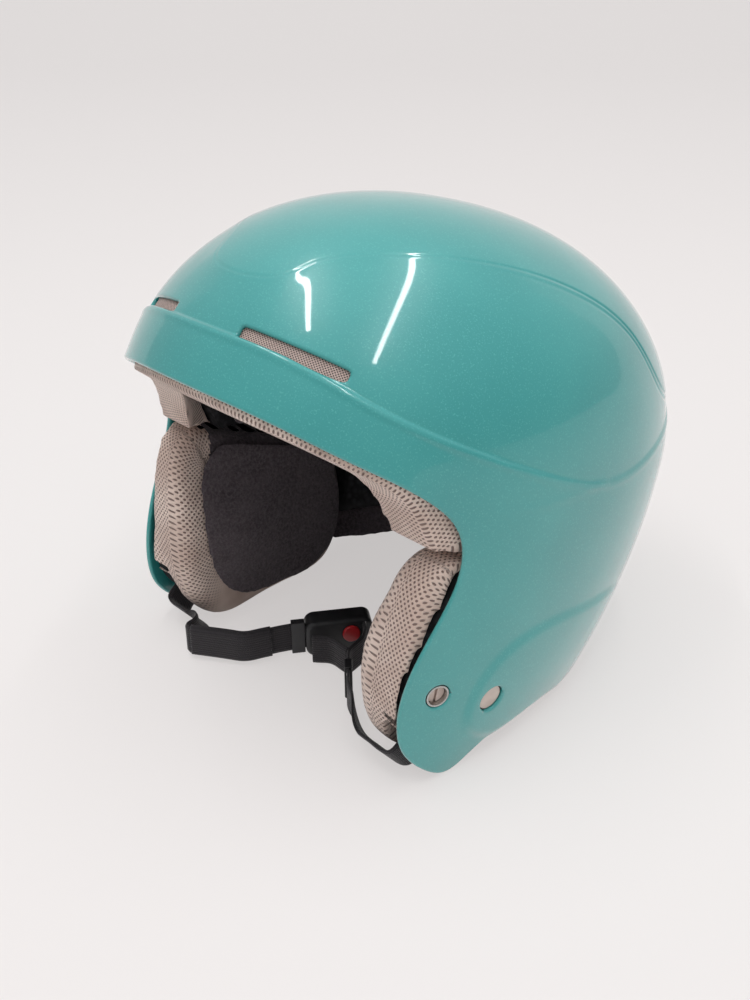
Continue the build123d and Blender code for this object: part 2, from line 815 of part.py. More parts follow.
def strap_leg(side):
    """Webbing from a rivet down between the jaw foam and the pad, then in under the jaw."""
    with BuildPart() as leg:
        with BuildSketch(Plane.YZ.offset(side * strap_outer)):
            with Locations(Location((swing_y, swing_z, 0), (0, 0, 180 + strap_slope))):
                Circle(strap_width / 2)
                Rectangle(beyond, strap_width, align=(Align.MIN, Align.CENTER))
                Circle(strap_outer_reach, mode=Mode.INTERSECT)
                Circle(rivet_shank + fit, mode=Mode.SUBTRACT)
        extrude(amount=-side * strap_thickness)
        with BuildSketch(Plane.YZ.offset(side * strap_outer)):
            with Locations(Location((swing_y, swing_z, 0), (0, 0, 180 + strap_slope))):
                Rectangle(beyond, strap_width, align=(Align.MIN, Align.CENTER))
                Circle(strap_outer_reach, mode=Mode.INTERSECT)
                Circle(strap_reach, mode=Mode.SUBTRACT)
        extrude(amount=-side * (strap_outer - ribbon_end_x))
    return leg.part


def toward(start, finish, share):
    """The point a share of the way from start to finish."""
    return tuple(a + (b - a) * share for a, b in zip(start, finish))


buckle_run = (cos(radians(buckle_turn)), sin(radians(buckle_turn)), 0)
buckle_out = (sin(radians(buckle_turn)), -cos(radians(buckle_turn)), 0)
ribbon_lift = strap_lift + (buckle_width - ribbon_height) / 2


def buckle_point(along, out):
    """A point on the table, along the buckle's length and out from its middle."""
    x, y = buckle_centre
    return (x + along * buckle_run[0] + out * buckle_out[0], y + along * buckle_run[1] + out * buckle_out[1])


tongue_start = -buckle_length / 2 - tongue_neck
slot_along = buckle_length / 2 - strap_bar
right_route = [*right_turns, buckle_point(tongue_start - fit, 0)]
left_route = [*left_turns, buckle_point(slot_along, buckle_depth * 0.9), buckle_point(slot_along, 0)]
sleeve_route = [
    toward(right_route[1], right_route[2], sleeve_start),
    right_route[2],
    toward(right_route[2], right_route[3], sleeve_stop),
]


def ribbon(route, width, height, lift):
    """A band standing on its edge along a route on the table."""
    with BuildPart() as band:
        with BuildSketch(Plane.XY.offset(lift)):
            with BuildLine():
                FilletPolyline(*route, radius=ribbon_bend)
            trace(line_width=width)
        extrude(amount=height)
    return band.part


right_leg = strap_leg(-1)
left_leg = strap_leg(1)
right_ribbon = ribbon(right_route, strap_thickness, ribbon_height, ribbon_lift)
left_ribbon = ribbon(left_route, strap_thickness, ribbon_height, ribbon_lift)
left_tail = ribbon(tail_turns, strap_thickness, ribbon_height, ribbon_lift)
with BuildPart() as chin_strap_right:
    add(right_leg)
    add(right_ribbon)
with BuildPart() as chin_strap_left:
    add(left_leg)
    add(left_ribbon)
    add(left_tail)

# The padded sleeve that lies under the chin.
sleeve_outside = ribbon(sleeve_route, sleeve_depth, ribbon_height + 2 * sleeve_wall, ribbon_lift - sleeve_wall)
sleeve_inside = ribbon(right_route, strap_thickness + 2 * soft_gap, ribbon_height + 2 * soft_gap, ribbon_lift - soft_gap)
with BuildPart() as chin_sleeve:
    add(sleeve_outside)
    add(sleeve_inside, mode=Mode.SUBTRACT)

# The buckle stands on its edge where the two bands meet.
buckle_middle = (*buckle_centre, strap_lift + buckle_width / 2)
buckle_plane = Plane(buckle_middle, x_dir=buckle_run, z_dir=buckle_out)
mouth = buckle_length - tongue_stop
front_face = buckle_plane.offset(buckle_depth / 2)
with BuildPart() as buckle_body:
    with BuildSketch(buckle_plane.offset(-buckle_depth / 2)):
        RectangleRounded(buckle_length, buckle_width, buckle_corner)
    extrude(amount=buckle_depth)
    fillet(buckle_body.edges().group_by(Axis(buckle_middle, buckle_out))[-1], radius=buckle_edge)
    with BuildSketch(buckle_plane.offset(-tongue_thickness / 2 - fit)):
        with Locations((-buckle_length / 2, 0)):
            Rectangle(mouth, tongue_width + 2 * fit, align=(Align.MIN, Align.CENTER))
    extrude(amount=tongue_thickness + 2 * fit, mode=Mode.SUBTRACT)
    with BuildSketch(front_face):
        with Locations(button_place):
            Circle(button_radius + fit)
    extrude(amount=-buckle_depth / 2, mode=Mode.SUBTRACT)
    with BuildSketch(front_face):
        with Locations((buckle_length / 2 - strap_bar, 0)):
            Rectangle(strap_slot, ribbon_height + 2 * fit)
    extrude(amount=-buckle_depth, mode=Mode.SUBTRACT)

with BuildPart() as buckle_tongue:
    with BuildSketch(buckle_plane.offset(-tongue_thickness / 2)):
        with Locations((tongue_start, 0)):
            Rectangle(tongue_neck + mouth - fit, tongue_width, align=(Align.MIN, Align.CENTER))
        with Locations(button_place):
            Circle(latch_radius, mode=Mode.SUBTRACT)
    extrude(amount=tongue_thickness)
    with BuildSketch(buckle_plane.offset(-tongue_thickness / 2 - tongue_rim)):
        with Locations((tongue_start, 0)):
            Rectangle(tongue_neck - fit, ribbon_height + tongue_rim * 2, align=(Align.MIN, Align.CENTER))
    extrude(amount=tongue_thickness + 2 * tongue_rim)

with BuildPart() as buckle_button:
    with BuildSketch(front_face.offset(button_proud)):
        with Locations(button_place):
            Circle(button_radius)
    extrude(amount=-button_proud - buckle_depth / 2 + tongue_thickness / 2 + button_travel + fit)
    fillet(buckle_button.edges().group_by(Axis(buckle_middle, buckle_out))[-1], radius=button_proud / 2)

# The keeper loop slides along the straight run of the left band.
keeper_run = (Vector(*left_route[2]) - Vector(*left_route[1])).normalized()
keeper_middle = Vector(*left_route[1], ribbon_lift + ribbon_height / 2) + keeper_run * keeper_place
keeper_plane = Plane(keeper_middle, x_dir=(0, 0, 1), z_dir=keeper_run)
with BuildPart() as strap_keeper:
    with BuildSketch(keeper_plane.offset(-keeper_length / 2)):
        RectangleRounded(
            ribbon_height + 2 * (fit + keeper_wall),
            strap_thickness + 2 * (fit + keeper_wall),
            keeper_wall,
        )
        Rectangle(ribbon_height + 2 * fit, strap_thickness + 2 * fit, mode=Mode.SUBTRACT)
    extrude(amount=keeper_length)

laid = {
    "chin_strap_right": chin_strap_right,
    "chin_strap_left": chin_strap_left,
    "chin_sleeve": chin_sleeve,
    "buckle_body": buckle_body,
    "buckle_tongue": buckle_tongue,
    "buckle_button": buckle_button,
    "strap_keeper": strap_keeper,
}
pieces.update({label: piece.part for label, piece in laid.items()})

# ---------- the helmet's own frame: the middle of its footprint, on the table ----------
seen = [point for solid in pieces.values() for point in solid.tessellate(0.2)[0]]
centre_y = (min(point.Y for point in seen) + max(point.Y for point in seen)) / 2
to_frame = Pos(0, -centre_y, 0)
for label, solid in pieces.items():
    placed = to_frame * solid
    placed.label = label
    export_step(placed, f"parts/{label}.step")
    print(label, round(placed.volume), placed.is_valid, len(placed.solids()))
print("tilt", rest_tilt, "drop", floor_drop, "centre", centre_y, "swing", swing_y - centre_y, swing_z)
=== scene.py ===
import math

import bpy
import numpy as np
from mathutils import Matrix, Vector
from mathutils.bvhtree import BVHTree

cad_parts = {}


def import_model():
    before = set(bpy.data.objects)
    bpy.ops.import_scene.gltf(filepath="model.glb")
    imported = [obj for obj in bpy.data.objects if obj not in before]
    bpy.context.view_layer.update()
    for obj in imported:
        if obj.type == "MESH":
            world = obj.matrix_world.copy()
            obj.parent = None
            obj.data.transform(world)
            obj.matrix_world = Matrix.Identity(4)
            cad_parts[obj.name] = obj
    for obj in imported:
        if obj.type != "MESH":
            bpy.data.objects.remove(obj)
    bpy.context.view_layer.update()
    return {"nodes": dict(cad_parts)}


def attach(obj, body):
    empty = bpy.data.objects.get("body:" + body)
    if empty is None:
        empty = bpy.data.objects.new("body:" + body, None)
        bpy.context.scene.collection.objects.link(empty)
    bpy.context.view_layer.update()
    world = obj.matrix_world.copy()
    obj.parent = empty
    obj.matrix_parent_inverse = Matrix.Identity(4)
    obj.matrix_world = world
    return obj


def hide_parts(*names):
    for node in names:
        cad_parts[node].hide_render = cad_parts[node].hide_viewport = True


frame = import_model()
nodes = frame["nodes"]
scene = bpy.context.scene
print("frame loaded:", len(nodes), "nodes")

# Shapes are described upright, in millimetres: +X the wearer's left, -Y the face, +Z the crown.
# The helmet then leans back until it stands on its ear lobes and its nape.
standing = dict(lean=15.08183, back=-43.93669, up=-11.70972)
leanCos, leanSin = math.cos(math.radians(standing["lean"])), math.sin(math.radians(standing["lean"]))
leaning = np.array(((1, 0, 0), (0, leanCos, -leanSin), (0, leanSin, leanCos)))
footing = np.array((0, standing["back"], standing["up"]))


def turned(vectors):
    return np.asarray(vectors, float) @ leaning


def stood(points):
    return (turned(points) + footing) / 1000


def unturned(vectors):
    return np.asarray(vectors, float) @ leaning.T


def upright(places):
    return unturned(np.asarray(places, float) * 1000 - footing)


form = dict(
    halfWidth=115.0, front=141.0, back=143.5, crown=241.0, widest=134.0, lowest=-14.0, forward=28.0,
    crownPower=2.125, planPower=2.17, napePower=1.75, sideTaper=0.15, faceTaper=0.106, napeTaper=0.12,
)


def levelSizes(height, inset=0.0):
    # half width, lean, reach ahead, reach behind and the rear's roundness at one height
    down = np.clip((form["widest"] - height) / form["widest"], 0, None) ** 2
    rise = form["crown"] - inset - form["widest"]
    up = np.clip((height - form["widest"]) / rise, 0, 1)
    swell = (1 - up ** form["crownPower"]) ** (1 / form["crownPower"])
    across = (form["halfWidth"] - inset) * swell * (1 - form["sideTaper"] * down)
    lean = -form["forward"] * down
    ahead = (form["front"] - inset) * swell * (1 - form["faceTaper"] * down) + lean
    behind = (form["back"] - inset) * swell * (1 - form["napeTaper"] * down) - lean
    rearPower = form["planPower"] + (form["napePower"] - form["planPower"]) * down
    return across, lean, ahead, behind, rearPower


def skinPoint(angle, height, inset=0.0):
    across, lean, ahead, behind, rearPower = levelSizes(height, inset)
    c, s = np.cos(angle), np.sin(angle)
    power = np.where(s >= 0, rearPower, form["planPower"])
    reach = np.where(s >= 0, behind, ahead)
    x = across * np.sign(c) * np.abs(c) ** (2 / form["planPower"])
    y = lean + reach * np.sign(s) * np.abs(s) ** (2 / power)
    return np.stack((x, y, height + 0 * x), -1)


def halfWidthAt(y, z, inset=0.0):
    across, lean, ahead, behind, rearPower = levelSizes(z, inset)
    rear = y >= lean
    share = np.clip(np.abs(y - lean) / np.where(rear, behind, ahead), 0, 1)
    power = np.where(rear, rearPower, form["planPower"])
    return across * (1 - share**power) ** (1 / form["planPower"])


def heldInside(points, inset):
    # draws points that lie outside the form, set in by inset, back to it level by level
    points = np.array(points, float)
    across, lean, ahead, behind, rearPower = levelSizes(points[:, 2], inset)
    offset = points[:, 1] - lean
    reach = np.where(offset >= 0, behind, ahead)
    power = np.where(offset >= 0, rearPower, form["planPower"])
    out = (np.abs(points[:, 0]) / np.maximum(across, 1)) ** form["planPower"]
    out = out + (np.abs(offset) / np.maximum(reach, 1)) ** power
    scale = np.where(out > 1, np.maximum(out, 1) ** (-1 / form["planPower"]), 1)
    points[:, 0] *= scale
    points[:, 1] = lean + offset * scale
    return points


def formNormal(place):
    # the direction straight out of the form above its widest level
    x, y, z = place
    rise = form["crown"] - form["widest"]
    sizes = np.array((form["halfWidth"], form["front"] if y < 0 else form["back"]))
    power, plan = form["crownPower"], form["planPower"]
    flat = np.abs((x, y)) / sizes
    across = (flat**plan).sum() ** (power / plan - 1) * np.sign((x, y)) * flat ** (plan - 1) / sizes
    return unit(np.array((*across, ((z - form["widest"]) / rise) ** (power - 1) / rise)))


def unit(vectors):
    return vectors / np.maximum(np.linalg.norm(vectors, axis=-1, keepdims=True), 1e-9)


def curveThrough(points, spacing=0.6):
    # a natural cubic through the points, sampled evenly
    points = np.asarray(points, float)
    steps = np.linalg.norm(np.diff(points, axis=0), axis=1)
    knots = np.concatenate(([0], np.cumsum(steps)))
    count = len(points)
    system = np.eye(count)
    right = np.zeros_like(points)
    for k in range(1, count - 1):
        system[k, k - 1 : k + 2] = steps[k - 1], 2 * (steps[k - 1] + steps[k]), steps[k]
        right[k] = 6 * ((points[k + 1] - points[k]) / steps[k] - (points[k] - points[k - 1]) / steps[k - 1])
    bend = np.linalg.solve(system, right)
    at = np.linspace(0, knots[-1], max(int(knots[-1] / spacing), 8))
    k = np.clip(np.searchsorted(knots, at, side="right") - 1, 0, count - 2)
    before, after = (knots[k + 1] - at)[:, None], (at - knots[k])[:, None]
    span = steps[k][:, None]
    curve = (bend[k] * before**3 + bend[k + 1] * after**3) / (6 * span)
    curve += (points[k] / span - bend[k] * span / 6) * before
    return curve + (points[k + 1] / span - bend[k + 1] * span / 6) * after


def ringThrough(points, spacing=0.6):
    # the same, closed: the curve runs on past its start, and one lap of it is kept
    points = list(points)
    curve = curveThrough(points[-4:] + points + points[:5], spacing)
    first = np.argmin(np.linalg.norm(curve - points[0], axis=1))
    past = first + 5
    last = past + np.argmin(np.linalg.norm(curve[past:] - points[0], axis=1))
    return curve[first:last]


def nearest(points, line, closed=False, batch=4000):
    # distance to a polyline, and how far along it the nearest point is
    line = np.asarray(line, float)
    ends = np.roll(line, -1, axis=0) if closed else line[1:]
    starts = line if closed else line[:-1]
    runs = ends - starts
    lengths = np.linalg.norm(runs, axis=1)
    along = np.concatenate(([0], np.cumsum(lengths)))[:-1]
    best = np.zeros(len(points))
    place = np.zeros(len(points))
    for begin in range(0, len(points), batch):
        part = points[begin : begin + batch]
        gap = part[:, None, :] - starts[None]
        share = np.clip((gap * runs).sum(-1) / np.maximum(lengths**2, 1e-9), 0, 1)
        away = np.linalg.norm(gap - share[..., None] * runs, axis=-1)
        k = away.argmin(1)
        rows = np.arange(len(part))
        best[begin : begin + batch] = away[rows, k]
        place[begin : begin + batch] = along[k] + share[rows, k] * lengths[k]
    return best, place


def within(points, ring):
    # True for the points inside a closed outline
    y, z = points[:, 0], points[:, 1]
    inside = np.zeros(len(points), bool)
    for (y1, z1), (y2, z2) in zip(ring, np.roll(ring, -1, axis=0)):
        if z1 == z2:
            continue
        crossing = (z1 > z) != (z2 > z)
        inside ^= crossing & (y < (y2 - y1) * (z - z1) / (z2 - z1) + y1)
    return inside


def signedWithin(points, ring):
    away = nearest(points, ring, closed=True)[0]
    return np.where(within(points, ring), away, -away)


def smooth(low, high, value):
    share = np.clip((value - low) / (high - low), 0, 1)
    return share * share * (3 - 2 * share)


def mixed(pair, share):
    return pair[0] + (pair[1] - pair[0]) * share


def peak(away, width):
    return np.exp(-((away / width) ** 2))


def tone(red, green, blue):
    # a colour as painted, 0 to 255, for a shader
    parts = [c / 255 for c in (red, green, blue)]
    return [c / 12.92 if c <= 0.04045 else ((c + 0.055) / 1.055) ** 2.4 for c in parts] + [1]


class Wire:
    # one socket of a finish, so that its sums read as plain arithmetic
    def __init__(self, finish, socket):
        self.finish = finish
        self.socket = socket

    def math(self, kind, *others):
        return self.finish.node("Math", {"operation": kind}, dict(enumerate((self, *others))))

    def __add__(self, other):
        return self.math("ADD", other)

    def __sub__(self, other):
        return self.math("SUBTRACT", other)

    def __rsub__(self, other):
        return self.finish.node("Math", {"operation": "SUBTRACT"}, {0: other, 1: self})

    def __mul__(self, other):
        return self.math("MULTIPLY", other)

    def __pow__(self, other):
        return self.math("POWER", other)

    def out(self, name):
        return Wire(self.finish, self.socket.node.outputs[name])


class Finish:
    # a material; its nodes take numbers, wires or the names of values in its look
    def __init__(self, name, look, **shader):
        self.look = look
        self.material = bpy.data.materials.new(name)
        self.material.use_nodes = True
        self.tree = self.material.node_tree
        self.tree.nodes.clear()
        self.shader = self.node("BsdfPrincipled", None, {k.replace("_", " "): v for k, v in shader.items()})
        self.node("OutputMaterial", None, {"Surface": self.shader}, output=None)
        self.place = self.node("TexCoord", output="Object")

    def node(self, kind, settings=None, inputs=None, output=0):
        made = self.tree.nodes.new("ShaderNode" + kind)
        give(made, settings or {})
        for key, value in (inputs or {}).items():
            if isinstance(value, Wire):
                self.tree.links.new(value.socket, made.inputs[key])
            else:
                made.inputs[key].default_value = self.look[value] if isinstance(value, str) else value
        return None if output is None else Wire(self, made.outputs[output])

    def noise(self, size, detail=2.0, rough=0.5):
        # noise whose patches are about as wide as the named size, in metres
        sockets = {"Vector": self.place, "Scale": 1 / self.look[size], "Detail": detail, "Roughness": rough}
        return self.node("TexNoise", None, sockets)

    def ramp(self, value, limits):
        low, high = self.look[limits] if isinstance(limits, str) else limits
        sockets = {"Value": value, "From Min": low, "From Max": high}
        return self.node("MapRange", {"interpolation_type": "SMOOTHSTEP"}, sockets)

    def blend(self, share, first, second):
        return self.node("Mix", {"data_type": "RGBA"}, {0: share, 6: first, 7: second}, output=2)

    def weave(self):
        return self.node("Attribute", {"attribute_name": "weave"}, output="Vector")

    def axes(self, vector):
        return self.node("SeparateXYZ", None, {0: vector})

    def vector(self, kind, first, second, output="Vector"):
        return self.node("VectorMath", {"operation": kind}, {0: first, 1: second}, output)

    def wear(self, height, depth, strength, **sockets):
        bump = self.node("Bump", None, {"Height": height, "Distance": depth, "Strength": strength})
        for name, value in {**sockets, "Normal": bump}.items():
            self.tree.links.new(value.socket, self.shader.socket.node.inputs[name.replace("_", " ")])
        return self.material


def lacquer():
    f = Finish("tealLacquer", dict(
        deep=tone(45, 143, 142), light=tone(56, 153, 151), cloudSize=0.07, cloud=(0.25, 0.75),
        speck=tone(88, 178, 176), speckSize=0.0007, speckRange=(0.56, 0.74), speckShare=0.45,
        peelSize=0.0035, dust=0.12, roughSize=0.02, roughSpread=0.12, roughLow=0.28,
    ), Roughness=0.34, Coat_Weight=1.0, Coat_Roughness=0.06, Coat_IOR=1.5, Specular_IOR_Level=0.45)
    dust = f.noise("speckSize", 1, 0.6)
    paint = f.blend(f.ramp(f.noise("cloudSize"), "cloud"), "deep", "light")
    paint = f.blend(f.ramp(dust, "speckRange") * "speckShare", paint, "speck")
    rough = f.noise("roughSize", 4, 0.6) * "roughSpread" + "roughLow"
    return f.wear(f.noise("peelSize") + dust * "dust", 0.00002, 1.0, Base_Color=paint, Roughness=rough)


def spacerMesh():
    # open knit over foam: staggered rows of small holes. The weave attribute counts holes along a row,
    # rows, and how open the knit is; start keeps the counts above zero.
    f = Finish("spacerMesh", dict(
        yarn=tone(226, 206, 195), shade=tone(200, 176, 164), shadeSize=0.02, shadeRange=(0.35, 0.65),
        # the colour of the holes is the yarn's colour darkened: painted shade inside them
        hole=tone(126, 104, 96), holeRange=(0.15, 0.27), rowShare=0.62, wobble=0.16,
        wobbleSize=0.006, tuft=0.0007, tuftShade=0.35, tuftRise=0.25, start=4000.0,
    ), Roughness=0.85, Sheen_Weight=0.25, Sheen_Roughness=0.5)
    weave = f.weave()
    clouds = f.noise("wobbleSize").out("Color")
    wobble = f.node("VectorMath", {"operation": "SCALE"}, {0: clouds, "Scale": "wobble"})
    axes = f.axes(f.vector("ADD", weave, wobble))
    row = axes.out("Y") + "start"
    column = axes.out("X") + "start" + row.math("FLOOR").math("MODULO", 2.0) * 0.5
    du = column.math("FRACT") - 0.5
    dv = (row.math("FRACT") - 0.5) * "rowShare"
    hole = (1 - f.ramp((du * du + dv * dv) ** 0.5, "holeRange")) * f.axes(weave).out("Z")
    tuft = f.noise("tuft", 2, 0.6)
    yarn = f.blend(f.ramp(f.noise("shadeSize", 3), "shadeRange"), "yarn", "shade")
    # the holes are coloured as the yarn darkened, where the bump sinks them: painted shade inside the holes
    colour = f.blend(hole, f.blend(tuft * "tuftShade", yarn, "shade"), "hole")
    return f.wear((1 - hole) + tuft * "tuftRise", 0.0008, 0.9, Base_Color=colour)


def plush():
    f = Finish("blackPlush", dict(
        deep=tone(66, 59, 63), tip=tone(112, 103, 108), nap=0.0016, napRange=(0.3, 0.72),
        brushed=0.022, brushedRange=(0.35, 0.7), brushedShare=0.4, brushedRise=0.6,
    ), Roughness=0.95, Sheen_Weight=0.35, Sheen_Roughness=0.45, Specular_IOR_Level=0.2)
    nap, brushed = f.noise("nap", 4, 0.7), f.noise("brushed", 3, 0.6)
    colour = f.blend(f.ramp(nap, "napRange"), "deep", "tip")
    colour = f.blend(f.ramp(brushed, "brushedRange") * "brushedShare", colour, "tip")
    return f.wear(nap + brushed * "brushedRise", 0.0009, 0.8, Base_Color=colour)


def webbing():
    f = Finish("blackWebbing", dict(
        dark=tone(24, 23, 25), light=tone(58, 54, 58), rib=1.3, ribShare=0.6,
        ribTurn=2 * math.pi / 1.3, pickTurn=2 * math.pi / 0.9, pickShare=0.4, slant=0.6,
        threadShade=0.6, fuzz=0.0006, fuzzShade=0.3,
    ), Roughness=0.7, Sheen_Weight=0.2, Sheen_Roughness=0.4, Specular_IOR_Level=0.35)
    axes = f.axes(f.weave())
    across, along = axes.out("X"), axes.out("Y")
    ribs = (across * "ribTurn").math("SINE") * 0.5 + 0.5
    picks = ((along + across.math("PINGPONG", "rib") * "slant") * "pickTurn").math("SINE") * 0.5 + 0.5
    thread = ribs * "ribShare" + picks * "pickShare"
    fuzz = f.noise("fuzz", 2, 0.6) * "fuzzShade"
    # the threads are lighter on their crowns and darker between them, following the bump: painted shade in the
    # hollows of the weave
    colour = f.blend(thread * "threadShade" + fuzz, "dark", "light")
    return f.wear(thread + fuzz, 0.0003, 0.8, Base_Color=colour)


def moulded(name, low, high, rough, grain, depth, coat=0.0):
    # moulded plastic with a fine grain, a little scuffed
    f = Finish(name, dict(
        low=low, high=high, grain=grain, patch=0.009, patchRange=(0.35, 0.68), scuff=0.12,
        fine=0.08, polish=rough - 0.1,
    ), Specular_IOR_Level=0.5, Coat_Weight=coat, Coat_Roughness=0.12)
    fine, patch = f.noise("grain", 2, 0.55), f.ramp(f.noise("patch", 3), "patchRange")
    gloss = patch * "scuff" + fine * "fine" + "polish"
    return f.wear(fine, depth, 0.7, Base_Color=f.blend(patch, "low", "high"), Roughness=gloss)


def beadFoam():
    # expanded foam: packed beads a few millimetres across
    f = Finish("beadFoam", dict(
        bead=tone(27, 27, 29), edge=tone(52, 52, 55), scale=260.0, range=(0.1, 0.75),
    ), Roughness=0.8, Specular_IOR_Level=0.25)
    sockets = {"Vector": f.place, "Scale": "scale"}
    # each bead is lighter in its middle, in the colour named edge, and darker towards its border, in the
    # colour named bead, following the bump: painted shade in the crevices between beads
    edge = f.ramp(f.node("TexVoronoi", {"feature": "F1"}, sockets, output="Distance"), "range")
    return f.wear(1 - edge, 0.0005, 0.6, Base_Color=f.blend(edge, "edge", "bead"))


def steel():
    f = Finish("platedSteel", dict(
        dark=tone(164, 162, 160), light=tone(205, 203, 200), grain=0.0004, range=(0.3, 0.7),
        roughSpread=0.2, roughLow=0.22,
    ), Metallic=1.0)
    fine = f.noise("grain", 3, 0.6)
    colour = f.blend(f.ramp(fine, "range"), "dark", "light")
    return f.wear(fine, 0.00001, 0.6, Base_Color=colour, Roughness=fine * "roughSpread" + "roughLow")


def grille(run, rise):
    # woven screen behind the vents; run and rise are the vent's own directions
    f = Finish("ventScreen", dict(
        wire=tone(196, 172, 164), hole=tone(70, 58, 56), turn=math.pi / 0.0013, range=(0.16, 0.5),
    ), Roughness=0.55)
    u, v = (f.vector("DOT_PRODUCT", f.place, axis, "Value") for axis in (run, rise))
    warp, weft = ((wire * "turn").math("SINE") for wire in (u + v, u - v))
    # the gaps between the wires get the wire's colour darkened: painted shade of the space behind the screen
    gap = f.ramp(warp * warp * (weft * weft), "range")
    return f.wear(1 - gap, 0.0004, 0.9, Base_Color=f.blend(gap, "wire", "hole"))


def meshObject(name, places, faces, material):
    mesh = bpy.data.meshes.new(name)
    mesh.from_pydata([tuple(p) for p in places], [], faces)
    mesh.materials.append(material)
    mesh.validate()
    mesh.shade_smooth()
    made = bpy.data.objects.new(name, mesh)
    scene.collection.objects.link(made)
    return made


def worn(piece, body, node=None):
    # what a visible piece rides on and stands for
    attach(piece, body)
    if node:
        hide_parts(node)
    return piece


def readVectors(items, key):
    flat = np.zeros(len(items) * 3, np.float32)
    items.foreach_get(key, flat)
    return flat.reshape(-1, 3).astype(float)


def readPlaces(mesh):
    return readVectors(mesh.vertices, "co")


def readNormals(mesh):
    return readVectors(mesh.vertex_normals, "vector")


def writePlaces(mesh, places):
    mesh.vertices.foreach_set("co", np.asarray(places, np.float32).ravel())
    mesh.update()


def writeWeave(mesh, across, along, share=1.0):
    values = np.stack((across, along, share + 0 * along), -1).astype(np.float32)
    mesh.attributes.new("weave", "FLOAT_VECTOR", "POINT").data.foreach_set("vector", values.ravel())


def give(thing, values):
    for key, value in values.items():
        setattr(thing, key, value)


def modified(piece, kind, **values):
    made = piece.modifiers.new(kind.lower(), kind)
    give(made, values)
    return made


def applied(piece):
    graph = bpy.context.evaluated_depsgraph_get()
    mesh = bpy.data.meshes.new_from_object(piece.evaluated_get(graph))
    piece.modifiers.clear()
    piece.data = mesh
    return mesh


shell = dict(
    wall=2.4,
    lipSteps=8,
    smoothings=3,  # of the direction in which an edge is rounded over
    columns=640,
    rows=(56, 46, 128),  # above the crown crease, on the panel, below the panel
    crowding=(0.8, 0.8, 0.62),  # how far the rows of each part crowd towards the creases
    parting=3.0,  # mm by which the two creases stay apart where they meet
    girth=118.0,  # mean radius at the creases
    leastShare=0.03,  # of a cell's side that a cut leaves on either end
)
relief = dict(
    rear=(-60, 30),  # y over which a crease changes from its front to its rear form
    tip=(84, 104),  # y over which the creases end
    recess=1.15, recessLoss=0.45, recessRun=(-95, 0),
    facet=(7.0, 3.0),  # how far the crown's facet rolls into the panel, front and rear
    step=(1.5, 3.0),  # width of the step under the vents, front and rear
    groove=0.5, grooveShare=(0.35, 1.0), grooveWidth=0.8,
    line=0.3, lineAt=3.2, lineWidth=0.7,
    ridge=0.35, ridgeShare=(1.0, 0.5), ridgeAt=1.2, ridgeWidth=1.4,
    flank=0.22, flankRun=(-66, -30), flankWidth=2.2,
    bulge=1.5, bulgeEdge=4.5, bulgeRun=(34, 84), bulgeBox=(100, -60, 110),
    brow=0.7, browRun=(-60, -90), browReach=5.0,
)
rimFront = [
    (-200, 153), (-139, 153), (-116, 143.5), (-88, 132), (-70, 117.5), (-66, 103), (-68.5, 84),
    (-74, 60), (-74.5, 36), (-67, 17), (-54, 6.5), (-38, 2), (-28, 9),
]
rimRear = [(-21, 14.5), (40, 28.5), (116, 43.5), (138, 51.5)]
rimCorners = [(200, 51.5), (200, 400), (-200, 400)]
crownCrease = [
    (-200, 197), (-150, 197), (-118, 197), (-102, 207.5), (-73, 217), (-37, 219), (5, 213), (40, 197),
    (63, 176), (106, 166), (170, 164),
]
lowCrease = [
    (-200, 176.5), (-160, 176.5), (-131, 176.5), (-108, 165), (-68, 150.5), (-28, 141), (10, 137),
    (47, 145), (82, 158), (106, 166), (170, 167),
]
flankLine = [(-64, 127), (-29, 131), (6, 138)]
earBulge = [
    (-33, 20), (-42, 28), (-44.5, 40), (-42, 52), (-34, 64), (-20, 72.5), (0, 77), (30, 79), (70, 76),
    (95, 50), (70, 24), (20, 24), (-6, 18.5), (-20, 16),
]
vent = dict(x=45.4, z=176.5, length=49.0, height=4.8, corner=1.5, drop=8.0, yaw=22.0, pitch=24.0)
guard = dict(y=-59.8, z=44.8, radius=5.5, reach=20.0)
anchor = dict(y=-30.7, z=40.2, radius=6.05)
farAway = 99.0


def ventAxes():
    # the directions of a vent slot's length and height
    drop, yaw, pitch = (math.radians(vent[k]) for k in ("drop", "yaw", "pitch"))
    out = np.array((math.sin(yaw) * math.cos(pitch), -math.cos(yaw) * math.cos(pitch), math.sin(pitch)))
    run = np.array((math.cos(yaw) * math.cos(drop), math.sin(yaw) * math.cos(drop), -math.sin(drop)))
    run = unit(run - out * run.dot(out))
    return run, np.cross(out, run)


ventRun, ventRise = ventAxes()


def frontAt(x, z):
    across, lean, ahead = levelSizes(z)[:3]
    return lean - ahead * (1 - (abs(x) / across) ** form["planPower"]) ** (1 / form["planPower"])


def flankFrame(y, z):
    # a point on the left flank and the direction straight out of it
    step = 2.0
    slopeY = (halfWidthAt(y + step, z) - halfWidthAt(y - step, z)) / (2 * step)
    slopeZ = (halfWidthAt(y, z + step) - halfWidthAt(y, z - step)) / (2 * step)
    out = np.array((1, -slopeY, -slopeZ))
    return np.array((halfWidthAt(y, z), y, z)), unit(out)


def leftSide(points):
    return np.concatenate((np.abs(points[:, :1]), points[:, 1:]), 1)


def ventField(points):
    # how far each point is outside the two vent slots
    p = leftSide(points)
    centre = np.array((vent["x"], frontAt(vent["x"], vent["z"]), vent["z"]))
    u, v = (p - centre) @ ventRun, (p - centre) @ ventRise
    corner = vent["corner"]
    du = np.abs(u) - vent["length"] / 2 + corner
    dv = np.abs(v) - vent["height"] / 2 + corner
    away = np.hypot(np.maximum(du, 0), np.maximum(dv, 0)) + np.minimum(np.maximum(du, dv), 0) - corner
    return np.where(p[:, 1] < 0, away, farAway)


